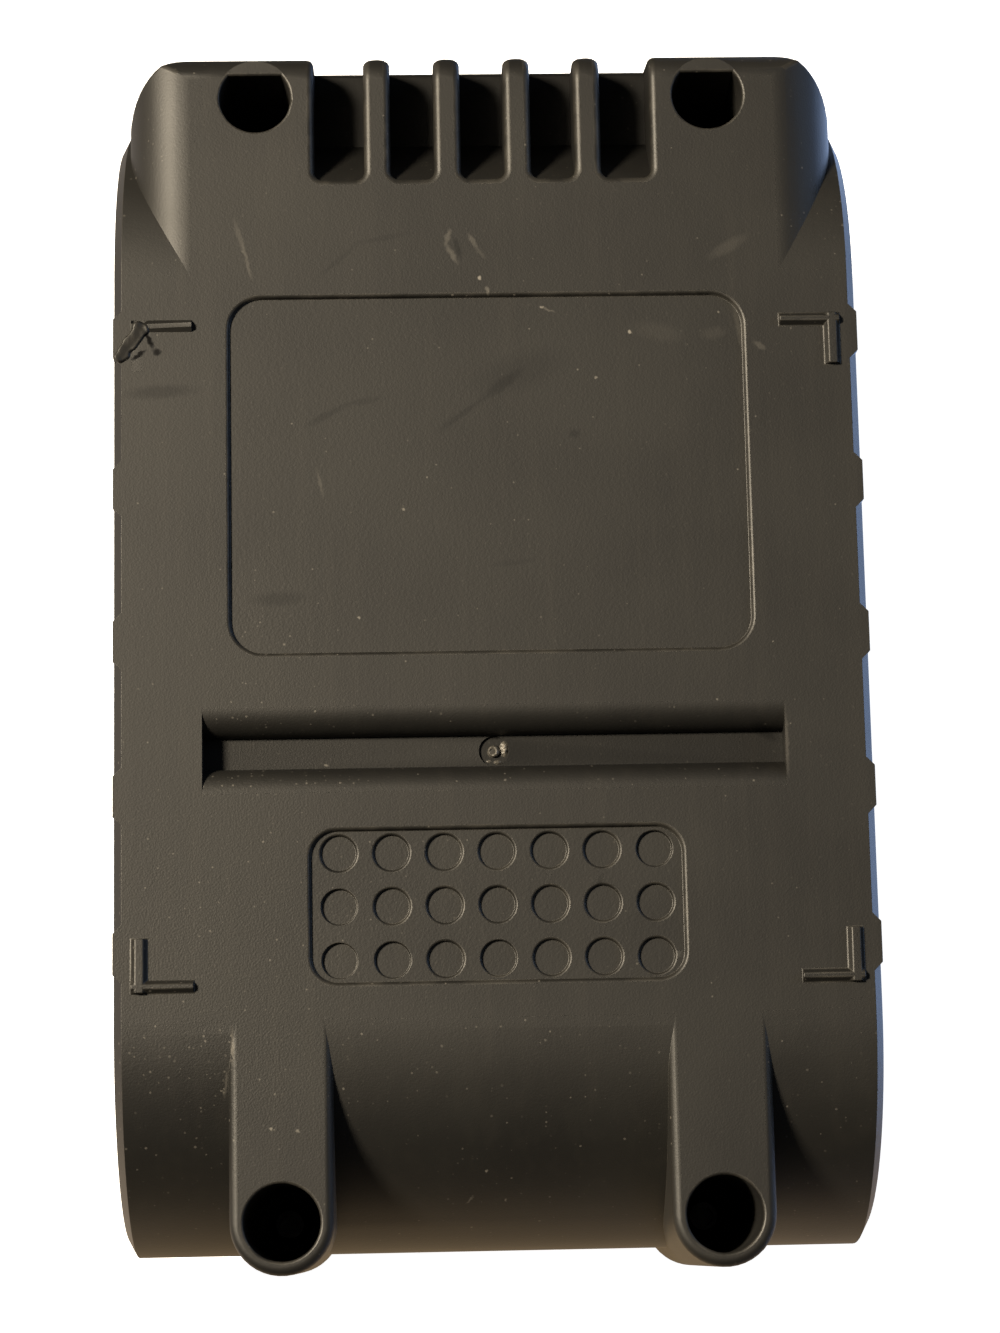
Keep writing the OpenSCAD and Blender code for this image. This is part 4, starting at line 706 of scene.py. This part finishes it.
def upperRound(low, high, run):
    size = high - low
    if max(size) < upperCase["fineRun"]:
        return upperCase["fine"]
    return upperCase["body"] if max(size.x, size.y) > upperCase["longRun"] else upperCase["opening"]


bm = mergedCopy("upper_case")
runCount = roundEdges(bm, -1, upperRound, upperSharp)
splitCreases(bm, upperSharp, 0)
upperMoulding = addPiece("upper_case_moulding", bm, "pack", "upper_case", finishes["case_plastic"])
evenShading(upperMoulding)
print("upper case rounded,", runCount, "runs of edges,", len(upperMoulding.data.polygons), "faces")

# the two buttons: the body that each rides on, and the round of its edges in mm
buttonEdges = {"release_button": ("release", 0.25), "gauge_button": ("gauge_key", 0.3)}
for node, (body, radius) in buttonEdges.items():
    bm = mergedCopy(node)
    roundEdges(bm, -1, lambda low, high, run: radius)
    key = addPiece(node + "_moulding", bm, body, node, finishes["button_plastic"])
    evenShading(key)
print("buttons rounded")

# compression springs under the release button: a closed turn at each end and open turns between
springs = {
    "wire": 0.7,        # mm
    "endTurns": 1.0,
    "openTurns": 4.0,
    "endPitch": 0.75,
    "steps": 40,        # sections a turn
    "sides": 14,
}
low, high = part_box("release_springs")
coilRadius = (high.y - low.y) / 2 - springs["wire"] / 2 * mm
middle = (low.y + high.y) / 2
rise = high.z - low.z - springs["wire"] * mm
openPitch = (rise - 2 * springs["endTurns"] * springs["endPitch"] * mm) / springs["openTurns"]
bm = bmesh.new()
for side in (low.x + coilRadius + springs["wire"] / 2 * mm, high.x - coilRadius - springs["wire"] / 2 * mm):
    section = bmesh.ops.create_circle(bm, cap_ends=True, radius=springs["wire"] / 2 * mm, segments=springs["sides"])
    bmesh.ops.rotate(bm, verts=section["verts"], cent=(0, 0, 0), matrix=Matrix.Rotation(math.pi / 2, 3, "X"))
    bmesh.ops.translate(bm, verts=section["verts"],
                        vec=(side + coilRadius, middle, low.z + springs["wire"] / 2 * mm))
    last = list({face for vert in section["verts"] for face in vert.link_faces})
    for turns, pitch in ((springs["endTurns"], springs["endPitch"] * mm), (springs["openTurns"], openPitch),
                         (springs["endTurns"], springs["endPitch"] * mm)):
        steps = round(turns * springs["steps"])
        spun = bmesh.ops.spin(bm, geom=last, cent=(side, middle, 0), axis=(0, 0, 1),
                              dvec=(0, 0, pitch * turns / steps), angle=turns * math.tau, steps=steps)
        last = [item for item in spun["geom_last"] if isinstance(item, bmesh.types.BMFace)]
bmesh.ops.remove_doubles(bm, verts=bm.verts, dist=0.001 * mm)
bmesh.ops.recalc_face_normals(bm, faces=bm.faces)
coils = addPiece("release_spring_coils", bm, "pack", "release_springs", finishes["spring_steel"])
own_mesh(coils)
print("springs wound,", len(coils.data.polygons), "faces")

# camera: over the nose end, looking down at the underside
camera = {
    "place": (-10.02, -59.145, 376.9),   # mm
    "turn": (10.205, -1.738, -1.163),   # degrees about X, Y and Z
    "lens": 87.45,                      # mm, for a 36 mm long side
}
eye = bpy.data.objects.new("camera", bpy.data.cameras.new("camera"))
eye.location = Vector(camera["place"]) * mm
eye.rotation_euler = [math.radians(angle) for angle in camera["turn"]]
eye.data.lens = camera["lens"]
eye.data.sensor_width = 36
eye.data.clip_start = 0.01
scene.collection.objects.link(eye)
scene.camera = eye

# floor: matt white board, which glows so that shadows stay faint, and throws no light back at the pack; a round
# wall of it, far behind, closes the horizon in low views
floorBoard = {"radius": 6.0, "wall": 3.0, "sides": 96, "glow": 1.0}   # m, m
board = grainedFinish("mattWhiteBoard", ("#ececec", "#f2f2f2"), 30, (1, 1, 1), (0.85, 0.95), 0.01,
                      {"Specular IOR Level": 0.1, "Emission Color": (1, 1, 1, 1),
                       "Emission Strength": floorBoard["glow"]})
for name, isWall in (("floor", False), ("backdrop", True)):
    bm = bmesh.new()
    bmesh.ops.create_circle(bm, cap_ends=not isWall, radius=floorBoard["radius"], segments=floorBoard["sides"])
    if isWall:
        raised = bmesh.ops.extrude_edge_only(bm, edges=bm.edges)
        rim = [item for item in raised["geom"] if isinstance(item, bmesh.types.BMVert)]
        bmesh.ops.translate(bm, verts=rim, vec=(0, 0, floorBoard["wall"]))
    mesh = bpy.data.meshes.new(name)
    bm.to_mesh(mesh)
    bm.free()
    stand = bpy.data.objects.new(name, mesh)
    stand.visible_diffuse = False
    stand.visible_glossy = False
    stand.visible_shadow = not isWall
    scene.collection.objects.link(stand)
    mesh.materials.append(board)

# soft studio light: a warm box high on the left, a cool one low on the right, and what the table throws back from the
# front, right and left
surround = {"colour": "#f4eee6", "strength": 0.045}
lamps = [
    # name, place in m, aim in m, width and height in m, power in W, colour
    ("warmBox", (-0.69, 0.25, 0.88), (0, 0, 0.05), (0.20, 0.20), 27.5, "#ffefd4"),
    ("coolBox", (0.88, 0.30, 0.42), (0, 0, 0.05), (0.50, 0.50), 1.7, "#b4d2fa"),
    ("tableBounce", (0, -0.12, 0.004), (0, -0.12, 1), (0.30, 0.14), 0.11, "#ffd9a4"),
    ("tableRight", (0.14, 0.01, 0.004), (0.14, 0.01, 1), (0.18, 0.30), 0.55, "#b2ceff"),
    ("tableLeft", (-0.14, 0.01, 0.004), (-0.14, 0.01, 1), (0.18, 0.30), 0.12, "#fff0e4"),
]
for name, place, aim, size, power, colour in lamps:
    lamp = bpy.data.objects.new(name, bpy.data.lights.new(name, "AREA"))
    lamp.data.shape = "RECTANGLE"
    lamp.data.size, lamp.data.size_y = size
    lamp.data.energy = power
    lamp.data.color = toLinear(colour)[:3]
    lamp.visible_camera = False
    lamp.location = place
    lamp.rotation_euler = (Vector(aim) - Vector(place)).to_track_quat("-Z", "Y").to_euler()
    scene.collection.objects.link(lamp)
world = bpy.data.worlds.new("surround")
scene.world = world
world.use_nodes = True
sky = world.node_tree.nodes["Background"]
sky.inputs["Color"].default_value = toLinear(surround["colour"])
sky.inputs["Strength"].default_value = surround["strength"]
scene.view_settings.view_transform = "Standard"
print("stage set")
